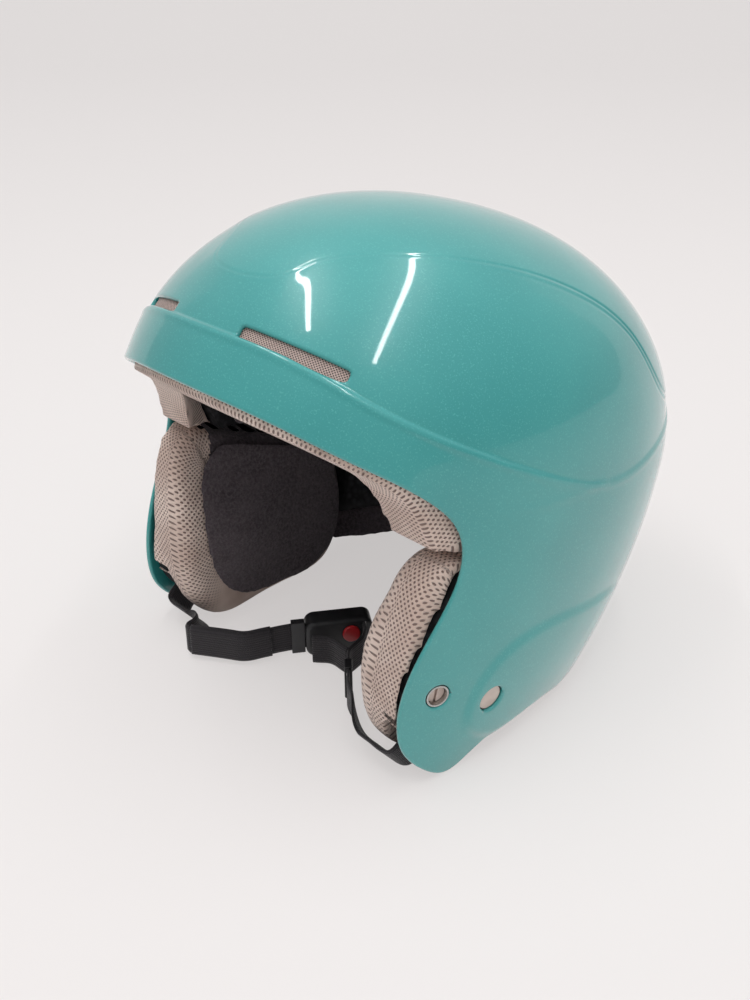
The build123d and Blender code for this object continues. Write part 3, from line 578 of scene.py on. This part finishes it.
def holeField(points):
    p = leftSide(points)
    centre, out = flankFrame(guard["y"], guard["z"])
    offset = p - centre
    radial = np.linalg.norm(offset - np.outer(offset @ out, out), axis=1)
    socket = np.where(np.abs(offset @ out) < guard["reach"], radial - guard["radius"], farAway)
    rivet = np.hypot(p[:, 1] - anchor["y"], p[:, 2] - anchor["z"]) - anchor["radius"]
    return np.minimum(socket, rivet)


def rimRing():
    return np.concatenate((curveThrough(rimFront), curveThrough(rimRear), rimCorners))


def creaseHeights(angles, crease, lowest=60.0, rounds=48):
    # the height at which each meridian crosses a crease drawn in the side view
    low, high = np.full_like(angles, lowest), np.full_like(angles, form["crown"] - 0.01)
    for _ in range(rounds):
        middle = (low + high) / 2
        y = skinPoint(angles, middle)[:, 1]
        above = middle > np.interp(y, crease[:, 0], crease[:, 1])
        high = np.where(above, middle, high)
        low = np.where(above, low, middle)
    return (low + high) / 2


def meridian(height):
    # millimetres up the meridian from the widest level
    rise = form["crown"] - form["widest"]
    up = np.clip((height - form["widest"]) / rise, 0, 1)
    return np.where(height > form["widest"], rise * np.arcsin(up), height - form["widest"])


def heightAt(length):
    rise = form["crown"] - form["widest"]
    up = np.sin(np.clip(length / rise, 0, math.pi / 2))
    return form["widest"] + np.where(length > 0, rise * up, length)


def shellSurface():
    angles = np.linspace(-math.pi, math.pi, shell["columns"], endpoint=False)
    upper = meridian(creaseHeights(angles, curveThrough(crownCrease)))
    lower = meridian(creaseHeights(angles, curveThrough(lowCrease)))
    middle, half = (upper + lower) / 2, np.hypot((upper - lower) / 2, shell["parting"])
    upper, lower = middle + half, middle - half
    top, bottom = meridian(np.array(form["crown"])), meridian(np.array(form["lowest"]))
    first, second, third = (np.linspace(0, 1, n + 1)[:, None] for n in shell["rows"])
    crowd = shell["crowding"]
    first = first + crowd[0] / math.pi * np.sin(math.pi * first)
    second = second - crowd[1] / (2 * math.pi) * np.sin(2 * math.pi * second)
    third = third - crowd[2] / math.pi * np.sin(math.pi * third)
    lengths = np.concatenate((
        (top + (upper - top) * first)[1:-1],
        (upper + (lower - upper) * second)[:-1],
        lower + (bottom - lower) * third,
    ))
    base = skinPoint(np.broadcast_to(angles, lengths.shape), heightAt(lengths))
    return base, lengths - upper, lengths - lower, upper, lower


def slopeFactor(line):
    # turns a distance up the meridian into one straight across a sloping crease
    around = 2 * math.pi * shell["girth"] / shell["columns"]
    slope = (np.roll(line, -1) - np.roll(line, 1)) / (2 * around)
    return 1 / np.sqrt(1 + slope**2)


def gridNormals(points):
    down = np.empty_like(points)
    down[1:-1] = points[2:] - points[:-2]
    down[0], down[-1] = points[1] - points[0], points[-1] - points[-2]
    around = np.roll(points, -1, axis=1) - np.roll(points, 1, axis=1)
    return unit(np.cross(down, around))


def shellRelief(base, fromUpper, fromLower, upper, lower, rimAway):
    # height of the creases, the recessed panel and the ear bulge above the plain form
    r = relief
    y, z = base[..., 1], base[..., 2]
    fromUpper = fromUpper * slopeFactor(upper)
    fromLower = fromLower * slopeFactor(lower)
    rear = smooth(*r["rear"], y)
    tip = 1 - smooth(*r["tip"], y)
    roll = 1 - np.exp(-np.clip(-fromUpper, 0, None) / mixed(r["facet"], rear))
    step = smooth(0, mixed(r["step"], rear), fromLower)
    depth = r["recess"] * (1 - r["recessLoss"] * smooth(*r["recessRun"], y))
    height = -depth * roll * step
    height -= r["groove"] * peak(fromUpper, r["grooveWidth"]) * mixed(r["grooveShare"], rear)
    height -= r["line"] * peak(fromUpper + r["lineAt"], r["lineWidth"]) * rear
    height += r["ridge"] * peak(fromLower + r["ridgeAt"], r["ridgeWidth"]) * mixed(r["ridgeShare"], rear)
    height *= tip
    flank = nearest(base[..., 1:].reshape(-1, 2), curveThrough(flankLine, 3))[0].reshape(y.shape)
    height += r["flank"] * peak(flank, r["flankWidth"]) * smooth(*r["flankRun"], y)
    top, front, back = r["bulgeBox"]
    near = (z < top) & (y > front) & (y < back)
    bulge = np.full(y.shape, -farAway)
    bulge[near] = signedWithin(base[near][:, 1:], ringThrough(earBulge, 2))
    height += r["bulge"] * smooth(0, r["bulgeEdge"], bulge) * (1 - smooth(*r["bulgeRun"], y))
    return height + r["brow"] * smooth(*r["browRun"], y) * np.exp(-np.clip(rimAway, 0, None) / r["browReach"])


def clipped(points, normals, field):
    # keeps the grid where field is positive, cutting the cells that it crosses; the cuts' loops come last
    keep = field > 0
    index = np.full(field.shape, -1)
    index[keep] = np.arange(keep.sum())
    right = np.roll(np.arange(field.shape[1]), -1)
    cells = np.stack([index[:-1], index[1:], index[1:][:, right], index[:-1][:, right]], -1)
    kept = cells >= 0
    faces = cells[kept.all(-1)].tolist()
    total, least = int(keep.sum()), shell["leastShare"]
    extra, cuts, following, loops = [], {}, {}, []

    def cut(a, b):
        key = (min(a, b), max(a, b))
        if key not in cuts:
            share = min(max(field[a] / (field[a] - field[b]), least), 1 - least)
            place, normal = (grid[a] + share * (grid[b] - grid[a]) for grid in (points, normals))
            extra.append((place, unit(normal)))
            cuts[key] = total + len(extra) - 1
        return cuts[key]

    for i, j in np.argwhere(kept.any(-1) & ~kept.all(-1)).tolist():
        k = int(right[j])
        ring = [(i, j), (i + 1, j), (i + 1, k), (i, k)]
        face, leaving, first = [], None, None
        for a, b in zip(ring, ring[1:] + ring[:1]):
            if keep[a]:
                face.append(int(index[a]))
            if keep[a] == keep[b]:
                continue
            crossing = cut(a, b)
            face.append(crossing)
            if keep[a]:
                leaving = crossing
            elif leaving is None:
                first = crossing
            else:
                following[leaving] = crossing
                leaving = None
        if first is not None and leaving is not None:
            following[leaving] = first
        faces.append(face)
    while following:
        start = next(iter(following))
        loop, after = [start], following.pop(start)
        while after in following:
            loop.append(after)
            after = following.pop(after)
        loops.append(loop)
    places, directions = (np.array(part) for part in zip(*extra))
    return np.concatenate((points[keep], places)), np.concatenate((normals[keep], directions)), faces, loops


def lipRings(loop, outer, directions, total, offset):
    # rounds an edge over from the outer skin to the inner one: its places, and the faces between its rings
    lip, steps = shell["wall"] / 2, shell["lipSteps"]
    p, n = outer[loop], directions[loop]
    tangent = np.roll(p, -1, axis=0) - np.roll(p, 1, axis=0)
    outward = unit(np.cross(tangent, n))
    for _ in range(shell["smoothings"]):
        outward = unit(outward + np.roll(outward, 1, axis=0) + np.roll(outward, -1, axis=0))
    rings, places = [np.array(loop)], []
    for k in range(1, steps):
        turn = math.pi * k / steps
        places.append(p + lip * math.sin(turn) * outward - lip * (1 - math.cos(turn)) * n)
        rings.append(np.arange(offset, offset + len(loop)))
        offset += len(loop)
    rings.append(np.array(loop) + total)
    faces = []
    for low, high in zip(rings, rings[1:]):
        faces += np.stack((np.roll(low, -1), low, high, np.roll(high, -1)), -1).tolist()
    return places, faces, offset


def buildShell():
    base, fromUpper, fromLower, upper, lower = shellSurface()
    flat = base.reshape(-1, 3)
    shape = base.shape[:2]
    rim = signedWithin(flat[:, 1:], rimRing())
    height = shellRelief(base, fromUpper, fromLower, upper, lower, rim.reshape(shape))
    points = base + gridNormals(base) * height[..., None]
    field = np.minimum(np.minimum(rim, ventField(flat)), holeField(flat)).reshape(shape)
    places, directions, faces, loops = clipped(points, gridNormals(points), field - shell["wall"] / 2)
    # the crown is closed by a fan round its highest point
    ring = np.arange(shell["columns"])
    top = len(places)
    crown = places[ring].mean(0)
    crown[2] = form["crown"] - 0.002
    outer = np.concatenate((places, crown[None]))
    directions = np.concatenate((directions, [[0, 0, 1.0]]))
    faces += [[top, int(a), int(b)] for a, b in zip(ring, np.roll(ring, -1))]
    total = len(outer)
    everything = [outer, outer - directions * shell["wall"]]
    faces = faces + [[total + v for v in reversed(face)] for face in faces]
    offset = 2 * total
    for loop in loops:
        lipPlaces, lipFaces, offset = lipRings(loop, outer, directions, total, offset)
        everything += lipPlaces
        faces += lipFaces
    piece = meshObject("glossShell", stood(np.concatenate(everything)), faces, lacquer())
    worn(piece, "helmet", "outer_shell")
    print("shell:", len(faces), "faces,", len(loops), "edges")


buildShell()

padding = dict(
    shrink=1.3,  # mm by which a pad starts inside its solid
    frames=20,
    rest=(2.6, 5.1),  # mm within which a pad lies against its neighbours, and beyond which it is free
    soften=dict(factor=0.5, iterations=4),
    weld=0.00003,
    skin=0.35,  # mm kept between a pad and the shell
    cloth=dict(
        use_pressure=True, uniform_pressure_force=4.0, vertex_group_mass="held", mass=0.2,
        tension_stiffness=12, compression_stiffness=12, bending_stiffness=0.3, quality=4,
    ),
    # the grid of each cover and the most that it swells, both in mm, and how full it is
    cheekPad=(2.6, 3.2, 0.7),
    cheekPlush=(1.6, 3.0, 0.6),
    templePad=(3.4, 3.0, 0.5),
    browPad=(2.6, 2.5, 0.6),
    crownPad=(3.6, 4.0, 0.5),
    occipitalPad=(3.4, 4.0, 0.5),
    neckRoll=(3.4, 3.0, 0.7),
)
pads = []


def startPad(name, node, material, against):
    # a pad's own closed mesh, a little inside its solid, ready to be filled with air
    grid, cap, fill = padding[name.split(".")[0]]
    piece = bpy.data.objects.new(name, nodes[node].data.copy())
    scene.collection.objects.link(piece)
    modified(piece, "WELD", merge_threshold=padding["weld"])
    modified(piece, "REMESH", mode="VOXEL", voxel_size=grid / 1000)
    modified(piece, "SMOOTH", **padding["soften"])
    mesh = applied(piece)
    places = readPlaces(mesh) - readNormals(mesh) * padding["shrink"] / 1000
    writePlaces(mesh, places)
    mesh.materials.clear()
    mesh.materials.append(material)
    corners, faces = [], []
    for other in against:
        start = len(corners)
        corners += [v.co.copy() for v in nodes[other].data.vertices]
        faces += [[start + v for v in face.vertices] for face in nodes[other].data.polygons]
    tree = BVHTree.FromPolygons(corners, faces)
    held = piece.vertex_groups.new(name="held")
    for k, place in enumerate(places):
        away = tree.find_nearest(Vector(place))[3] * 1000
        held.add([k], float(1 - smooth(*padding["rest"], away)), "REPLACE")
    worn(piece, "helmet", node)
    pads.append({"piece": piece, "cap": cap, "fill": fill, "before": places})


def fillPads():
    # air pressure rounds the pads out; where they lie against something they stay
    for pad in pads:
        cloth = modified(pad["piece"], "CLOTH")
        give(cloth.settings, padding["cloth"])
        cloth.settings.effector_weights.gravity = 0
        cloth.collision_settings.use_collision = False
        give(cloth.point_cache, {"frame_start": 1, "frame_end": padding["frames"]})
    for frameNumber in range(1, padding["frames"] + 1):
        scene.frame_set(frameNumber)
    for pad in pads:
        piece = pad["piece"]
        mesh = applied(piece)
        moved = np.nan_to_num(readPlaces(mesh) - pad["before"]) * 1000
        reach = np.linalg.norm(moved, axis=1, keepdims=True)
        moved *= np.minimum(1, pad["cap"] / np.maximum(reach, 1e-6))
        writePlaces(mesh, pad["before"] + moved / 1000)
        modified(piece, "SUBSURF", levels=1, render_levels=1)
        mesh = applied(piece)
        writePlaces(mesh, stood(heldInside(upright(readPlaces(mesh)), shell["wall"] + padding["skin"])))
        mesh.shade_smooth()
        print("pad:", piece.name, len(mesh.polygons), "faces, swelled", round(float(reach.max()), 2), "mm")
    scene.frame_set(1)


cheek = dict(
    plane=(58.0, 74.0), top=106.0,  # how far out the inner face lies, at the bottom and the top
    seam=0.9, seamWidth=1.3, facing=0.3, unseamed=9,
    knit=dict(left=(2.3, 1.7), right=(2.6, 1.5)),
    wallFrom=10, faceTo=12, faceReach=40,
    bandTop=(40, 62), bandFront=(-58, -44),  # the plain band, by z and by y
    lining=(-57, 92, 30),  # black behind the first and above the second, or behind the third
    # how far the front of the inner face stands in from its plane, by height
    bulge=[(10, 0), (17, 0.6), (31, 1.7), (43, 3.5), (55, 4.3), (69, 2.6), (84, -1.0), (107, -2.5)],
    bulgeRun=(-50, 10), bulgeDepth=(4, 17),
)
plushOutline = [
    (-59, 96), (-65, 86), (-66.5, 70), (-63, 50), (-53, 30), (-38, 19), (-10, 20), (16, 27), (31, 43),
    (32, 68), (21, 91), (-10, 98), (-42, 100),
]
cheekOutline = [
    (-69, 103.5), (-76, 95), (-78, 77), (-76, 54), (-70.5, 30), (-60, 13.5), (-43, 4), (-18, 9.5),
    (8, 16.5), (30, 25), (40, 42), (39, 72), (26, 95), (-6, 103), (-44, 105),
]
brow = dict(
    edge=[(-139, 149), (-116, 139.5), (-100, 133), (-90, 127.5), (-81.5, 117), (-76, 107)],
    inset=3.2, knit=(2.0, 1.7),
)


def ringPlace(flat, outline):
    # how deep each point lies inside an outline, and how far along it
    ring = ringThrough(outline, 1.0)
    away, along = nearest(flat, ring, closed=True)
    return np.where(within(flat, ring), away, -away), along


def swelled(piece):
    # the front of the pad stands in towards the chin, and the plush goes with it
    side = 1 if piece.name.endswith("left") else -1
    places = upright(readPlaces(piece.data))
    inner = mixed(cheek["plane"], np.clip(places[:, 2] / cheek["top"], 0, 1))
    heights, swell = np.array(cheek["bulge"], float).T
    lift = np.interp(places[:, 2], heights, swell) * (1 - smooth(*cheek["bulgeRun"], places[:, 1]))
    lift = lift * (1 - smooth(*cheek["bulgeDepth"], np.abs(places[:, 0]) - inner))
    places[:, 0] -= side * lift
    writePlaces(piece.data, stood(places))
    return places, inner, side


def finishCheekPad(piece):
    places, inner, side = swelled(piece)
    mesh, flat = piece.data, places[:, 1:]
    normals = readNormals(mesh)
    facing = -side * unturned(normals)[:, 0]
    seam = np.where(facing > cheek["facing"], ringPlace(flat, plushOutline)[0], cheek["unseamed"])
    sunk = cheek["seam"] * peak(seam, cheek["seamWidth"])
    writePlaces(mesh, readPlaces(mesh) - normals * sunk[:, None] / 1000)
    inside, along = ringPlace(flat, cheekOutline)
    deep = np.abs(places[:, 0]) - inner
    across = np.maximum(deep - cheek["wallFrom"], 0)
    across -= np.clip(inside, 0, cheek["faceReach"]) * (deep < cheek["faceTo"])
    low = 1 - smooth(*cheek["bandTop"], places[:, 2])
    knit = cheek["knit"]["left" if side > 0 else "right"]
    writeWeave(mesh, across / knit[0], along / knit[1], 1 - smooth(*cheek["bandFront"], places[:, 1]) * low)
    mesh.materials.append(bpy.data.materials["blackPlush"])
    middles = np.array([places[list(face.vertices)].mean(0) for face in mesh.polygons])
    front, above, behind = cheek["lining"]
    lined = (middles[:, 1] > front) & (middles[:, 2] > above) | (middles[:, 1] > behind)
    mesh.polygons.foreach_set("material_index", lined.astype(np.int32))


def finishBrowPad(piece):
    places = upright(readPlaces(piece.data))
    side = curveThrough(brow["edge"], 1.0)
    ahead = levelSizes(side[0, 1], brow["inset"])
    front = ahead[1] - ahead[2]
    side = side[side[:, 0] > front + 0.5]
    x = halfWidthAt(side[:, 0], side[:, 1], brow["inset"])
    left = np.stack((x, side[:, 0], side[:, 1]), -1)
    line = np.concatenate((left[::-1], [[0, front, side[0, 1]]], left * (-1, 1, 1)))
    away, along = nearest(places, line)
    writeWeave(piece.data, along / brow["knit"][0], away / brow["knit"][1])


def softPads():
    knit, nap = spacerMesh(), plush()
    liner, both = ["impact_liner"], ["outer_shell", "impact_liner"]
    for side in ("left", "right"):
        pad, face = "cheek_pad_" + side, "cheek_plush_" + side
        around = ["outer_shell", "jaw_foam_" + side, "cheek_plate_" + side, "brow_pad", face]
        startPad("cheekPad." + side, pad, knit, around)
        startPad("cheekPlush." + side, face, nap, [pad])
        startPad("templePad." + side, "temple_pad_" + side, nap, liner)
    startPad("browPad", "brow_pad", knit, both)
    startPad("crownPad", "crown_pad", nap, liner)
    startPad("occipitalPad", "occipital_pad", nap, liner)
    startPad("neckRoll", "neck_roll", nap, both)
    fillPads()
    finishing = {"cheekPad": finishCheekPad, "cheekPlush": swelled, "browPad": finishBrowPad}
    for pad in pads:
        finish = finishing.get(pad["piece"].name.split(".")[0])
        if finish:
            finish(pad["piece"])


softPads()

# Standing, in millimetres: both bands hang from the rivets inside the cheek pads, fold in under the jaw, and
# turn on edge where they lie on the table.
strap = dict(
    rivet=(-63.12, 35.09), legX=84.85, slope=38.7, reach=43.4,
    down=(-9.5, 0, 12, 24, 34, 39.5), fold=1.2, inward=(4, 12, 20),
    thick=1.6, legWidth=20.0, width=16.0, lift=10.3, bend=6.0, bendShares=(1.0, 0.35),
    right=[(-58, -50), (-53, -69), (-26, -51.5)],
    left=[(58, -51), (38, -40), (19, -23), (17, -11)],
    tail=[(19, -23), (6, -23), (-1, -29)],
    buckle=(-3.0, -10.0), turn=56.0, half=17.0, neck=7.0, bar=12.5, out=9.9, lap=1.0,
    sleeve=4.6, sleeveWidth=17.4, sleeveRun=(0.12, 0.55), sleeveCrown=0.12, sleeveFill=0.6,
)
bandShape = dict(
    spacing=1.2, across=12,
    bead=0.12, beadAt=0.86, beadWidth=0.1,  # the thicker woven edges
    edge=1.03, edgePower=8, edgeLeast=0.03, edgeRise=1.12,
    waves=((0.12, 7.0, 0), (0.08, 3.1, 1)),  # how the band ripples: height, length, start
    end=0.94,
)


def onTable(x, y):
    return (x, y + standing["back"], strap["lift"])


def buckleAt(along, out):
    # a place on the table, along the buckle's length and out from its middle
    turn = math.radians(strap["turn"])
    c, s = math.cos(turn), math.sin(turn)
    x, y = strap["buckle"]
    return onTable(x + along * c + out * s, y + along * s - out * c)


def legStations(side):
    # places and width directions from above the rivet to the fold under the jaw, and in
    slope = math.radians(strap["slope"])
    down = np.array((0, -math.cos(slope), -math.sin(slope)))
    wide = np.array((0, math.sin(slope), -math.cos(slope)))
    start = np.array((side * strap["legX"], *strap["rivet"]))
    end = start + down * strap["reach"]
    inward = np.array((-side, 0, 0))
    stations = [start + down * d for d in strap["down"]]
    stations += [end + inward * strap["fold"] - down * strap["fold"]]
    stations += [end + inward * d for d in strap["inward"]]
    return [(p, wide, strap["legWidth"]) for p in stations]


def softened(route):
    # replaces each corner of a route by two points before and two after it
    points = [np.array(p, float) for p in route]
    made = [points[0]]
    far, near = strap["bendShares"]
    for before, corner, after in zip(points, points[1:], points[2:]):
        for other, share in ((before, far), (before, near), (after, near), (after, far)):
            run = other - corner
            length = np.linalg.norm(run)
            made.append(corner + run / length * min(strap["bend"] * share, length * 0.45))
    return made + [points[-1]]


def tableStations(route, width):
    return [(p, np.array((0, 0, -1.0)), width) for p in softened(route)]


def band(name, stations, thick, node, crown=0.0, rounded=False):
    # webbing swept along its stations; a crown swells it into a padded sleeve
    b = bandShape
    rows = np.array([np.concatenate((p, w, [width])) for p, w, width in stations], float)
    line = curveThrough(rows[:, :3], b["spacing"])
    lengths = np.concatenate(([0], np.cumsum(np.linalg.norm(np.diff(rows[:, :3], axis=0), axis=1))))
    at = np.linspace(0, lengths[-1], len(line))
    wide = np.stack([np.interp(at, lengths, rows[:, k]) for k in (3, 4, 5)], -1)
    width = np.interp(at, lengths, rows[:, 6])
    along = unit(np.gradient(line, axis=0))
    wide = unit(wide - along * (wide * along).sum(1, keepdims=True))
    out = np.cross(along, wide)
    if rounded:
        early = np.clip(at / (strap["legWidth"] / 2), 0, 1)
        width = width * np.sqrt(1 - (1 - early) ** 2 * b["end"])
    lateral = np.linspace(-1, 1, b["across"])
    rise = 1 + b["bead"] * peak(np.abs(lateral) - b["beadAt"], b["beadWidth"])
    edge = np.clip(b["edge"] - np.abs(lateral) ** b["edgePower"], b["edgeLeast"], 1)
    rise = np.minimum(rise, np.sqrt(edge) * b["edgeRise"])
    profile = list(zip(lateral, rise)) + list(zip(lateral[::-1], -rise[::-1]))
    slow = sum(height * np.sin(at / length + start) for height, length, start in b["waves"])
    if crown:
        slow = 0
        thick = thick * (1 + crown * np.sin(np.pi * np.clip(at / at[-1], 0, 1)) ** 0.5)
    places, across, run = [], [], []
    for u, r in profile:
        bulge = 1 + crown * (1 - u * u)
        offset = wide * (u * width / 2)[:, None] + out * (r * thick / 2 * bulge + slow)[:, None]
        places.append(line + offset)
        across.append(u * width / 2)
        run.append(at)
    places = np.stack(places, 1).reshape(-1, 3)
    count, rim = len(line), len(profile)
    faces = []
    for k in range(count - 1):
        for j in range(rim):
            after = (j + 1) % rim
            faces.append((k * rim + j, k * rim + after, (k + 1) * rim + after, (k + 1) * rim + j))
    faces.append(list(range(rim))[::-1])
    faces.append([(count - 1) * rim + j for j in range(rim)])
    piece = meshObject(name, places / 1000, faces, bpy.data.materials["blackWebbing"])
    writeWeave(piece.data, np.stack(across, 1).ravel(), np.stack(run, 1).ravel())
    return worn(piece, "chin_strap", node)


def chinStrap():
    webbing()
    tip = -strap["half"] - strap["neck"]
    routes = {name: [onTable(*p) for p in strap[name]] for name in ("left", "right", "tail")}
    ends = {
        "left": [buckleAt(strap["bar"], strap["out"]), buckleAt(strap["bar"], strap["lap"])],
        "right": [buckleAt(tip + strap["lap"], 0)],
    }
    for side, name in ((1, "left"), (-1, "right")):
        stations = legStations(side) + tableStations(routes[name] + ends[name], strap["width"])[1:]
        band("strapBand." + name, stations, strap["thick"], "chin_strap_" + name, rounded=True)
    band("strapTail", tableStations(routes["tail"], strap["width"]), strap["thick"], None)
    before, corner, after = (np.array(p) for p in routes["right"][1:] + [buckleAt(tip, 0)])
    first, last = strap["sleeveRun"]
    run = [mixed((before, corner), first), corner, mixed((corner, after), last)]
    stations = tableStations(run, strap["sleeveWidth"])
    sleeve = band("chinSleeve", stations, strap["sleeve"], "chin_sleeve", crown=strap["sleeveCrown"])
    print("chin strap ready")


chinStrap()

easing = dict(weld=0.00001, segments=2, angle=32.0)


def dressed(node, material, bevel):
    # a solid of the model keeps its shape, gets its finish and has its edges eased
    piece = nodes[node]
    piece.data.materials.clear()
    piece.data.materials.append(material)
    piece.data.shade_smooth()
    modified(piece, "WELD", merge_threshold=easing["weld"])
    if bevel:
        modified(piece, "BEVEL", width=bevel / 1000, segments=easing["segments"], limit_method="ANGLE",
                 angle_limit=math.radians(easing["angle"]), harden_normals=False)
    modified(piece, "WEIGHTED_NORMAL", keep_sharp=True)


def hardParts():
    black = moulded("blackNylon", tone(34, 34, 36), tone(46, 46, 48), 0.42, 0.0005, 0.00006)
    pale = moulded("palePolymer", tone(196, 178, 168), tone(212, 196, 186), 0.42, 0.0005, 0.00004)
    red = moulded("redButton", tone(196, 30, 38), tone(214, 44, 50), 0.3, 0.0004, 0.00002, coat=0.4)
    metal, foam = steel(), beadFoam()
    screen = grille(tuple(turned(ventRun)), tuple(turned(ventRise)))
    # each finish, the width of its eased edges in millimetres, and the nodes that have both
    for material, bevel, names in (
        (screen, 0, "vent_mesh_left vent_mesh_right"),
        (foam, 0, "impact_liner jaw_foam_left jaw_foam_right"),
        (metal, 0.15, "chin_guard_ferrule_left chin_guard_ferrule_right rivet_washer_left rivet_washer_right"),
        (metal, 0.15, "goggle_clip_pin goggle_clip_screws"),
        (pale, 0.2, "chin_guard_screw_left chin_guard_screw_right"),
        (pale, 0.3, "strap_rivet_left strap_rivet_right"),
        (black, 0.2, "cheek_plate_left cheek_plate_right cheek_snaps_left cheek_snaps_right"),
        (black, 0.35, "goggle_clip_base goggle_clip_flap buckle_body buckle_tongue strap_keeper"),
        (red, 0.2, "buckle_button"),
    ):
        for node in names.split():
            dressed(node, material, bevel)
    print("hard parts dressed")


hardParts()

studio = dict(
    floor=tone(236, 232, 231),
    glow=0.65,  # share of the floor's own colour that the camera sees without shade
    sky=(0.40, 0.72), skyRange=(0.05, 0.95),
    sweep=dict(reach=4.0, back=6.0, radius=3.0, side=9.0, top=7.0, steps=32, turn=45.0),
    # where each lamp hangs, its size in metres and its power
    lamps=dict(overhead=((0.3, -0.3, 3.2), 3.4, 36.0), side=((2.4, -1.2, 1.0), 1.6, 3.0)),
    aim=(0, 0, 0.1),
    strips=dict(
        stripNear=((56, -72, 215), (71, -102, 178)),
        stripFar=((29, -101.5, 207.6), (47, -115.5, 184.6)),
    ),
    stripAim=(60, -90, 190), stripWidth=0.035, stripAway=1.1, stripPower=2.6,
)
# the camera's lens, where it stands and which way it looks
lens = dict(lens=37.77, sensor_width=36, shift_x=-0.0267, shift_y=-0.067, clip_end=50)
stand = dict(at=(0.3374, -0.3457, 0.3223), toward=(-0.648, 0.642, -0.4097))


class Sky(Finish):
    # the same way of making nodes, for the world
    def __init__(self, name):
        sky = bpy.data.worlds.new(name)
        scene.world = sky
        sky.use_nodes = True
        self.tree = sky.node_tree
        self.tree.nodes.clear()


def backdrop():
    # a floor that sweeps up into a wall
    s = studio["sweep"]
    flat, radius = s["back"] - s["radius"], s["radius"]
    profile = [(-s["reach"], 0), (flat, 0)]
    profile += [(flat + radius * math.sin(a), radius - radius * math.cos(a))
                for a in np.linspace(0, math.pi / 2, s["steps"])[1:]]
    profile += [(s["back"], s["top"])]
    c = math.cos(math.radians(s["turn"]))
    sides = (-s["side"], s["side"])
    places = [(c * (side - run), c * (run + side), rise) for run, rise in profile for side in sides]
    faces = [(2 * k, 2 * k + 1, 2 * k + 3, 2 * k + 2) for k in range(len(profile) - 1)]
    f = Finish("paleBackdrop", studio, Roughness=0.9, Specular_IOR_Level=0.1, Base_Color="floor")
    path = f.node("LightPath", output="Is Camera Ray")
    seen = path.math("MAXIMUM", path.out("Is Glossy Ray")).math("MAXIMUM", path.out("Is Transmission Ray"))
    glow = f.node("Emission", None, {"Color": "floor", "Strength": 1.0})
    both = f.node("MixShader", None, {0: seen * "glow", 1: f.shader, 2: glow})
    f.tree.links.new(both.socket, f.tree.nodes["Material Output"].inputs["Surface"])
    meshObject("backdrop", places, faces, f.material)


def world():
    # an even studio sky, brighter overhead
    f = Sky("studio")
    rise = f.axes(f.node("TexCoord", output="Generated")).out("Z")
    low, high = studio["sky"]
    strength = f.ramp(rise, studio["skyRange"]) * (high - low) + low
    light = f.node("Background", None, {"Color": (1, 1, 1, 1), "Strength": strength})
    f.node("OutputWorld", None, {"Surface": light}, output=None)


def pointed(way):
    return Vector(way).to_track_quat("-Z", "Y").to_euler()


def softLight(name, place, aim, size, power):
    light = bpy.data.lights.new(name, "AREA")
    give(light, {"energy": power, "size": size})
    lamp = bpy.data.objects.new(name, light)
    lamp.location = place
    lamp.rotation_euler = pointed(Vector(aim) - Vector(place))
    scene.collection.objects.link(lamp)
    return lamp


def stripLight(name, first, second):
    # a thin lamp whose reflection runs across the shell between two places on it
    ends = []
    for place in (first, second):
        at, out = stood(place), turned(formNormal(place))
        ray = unit(at - stand["at"])
        ends.append(at + (ray - 2 * ray.dot(out) * out) * studio["stripAway"])
    middle, aim = (ends[0] + ends[1]) / 2, stood(studio["stripAim"])
    lamp = softLight(name, middle, aim, studio["stripWidth"], studio["stripPower"])
    lamp.data.shape = "RECTANGLE"
    lamp.data.size_y = float(np.linalg.norm(ends[1] - ends[0]))
    toward = (Vector(aim) - Vector(middle)).normalized()
    across = Vector(ends[1] - ends[0]).normalized().cross(-toward).normalized()
    along = (-toward).cross(across)
    lamp.rotation_euler = Matrix((across, along, -toward)).transposed().to_euler()


backdrop()
world()
for name, (place, size, power) in studio["lamps"].items():
    softLight(name, place, studio["aim"], size, power).visible_glossy = False
for name, (first, second) in studio["strips"].items():
    stripLight(name, first, second)

camera = bpy.data.cameras.new("camera")
give(camera, lens)
view = bpy.data.objects.new("camera", camera)
view.location = stand["at"]
view.rotation_euler = pointed(stand["toward"])
scene.collection.objects.link(view)
scene.camera = view
scene.view_settings.view_transform = "Standard"
print("studio ready")
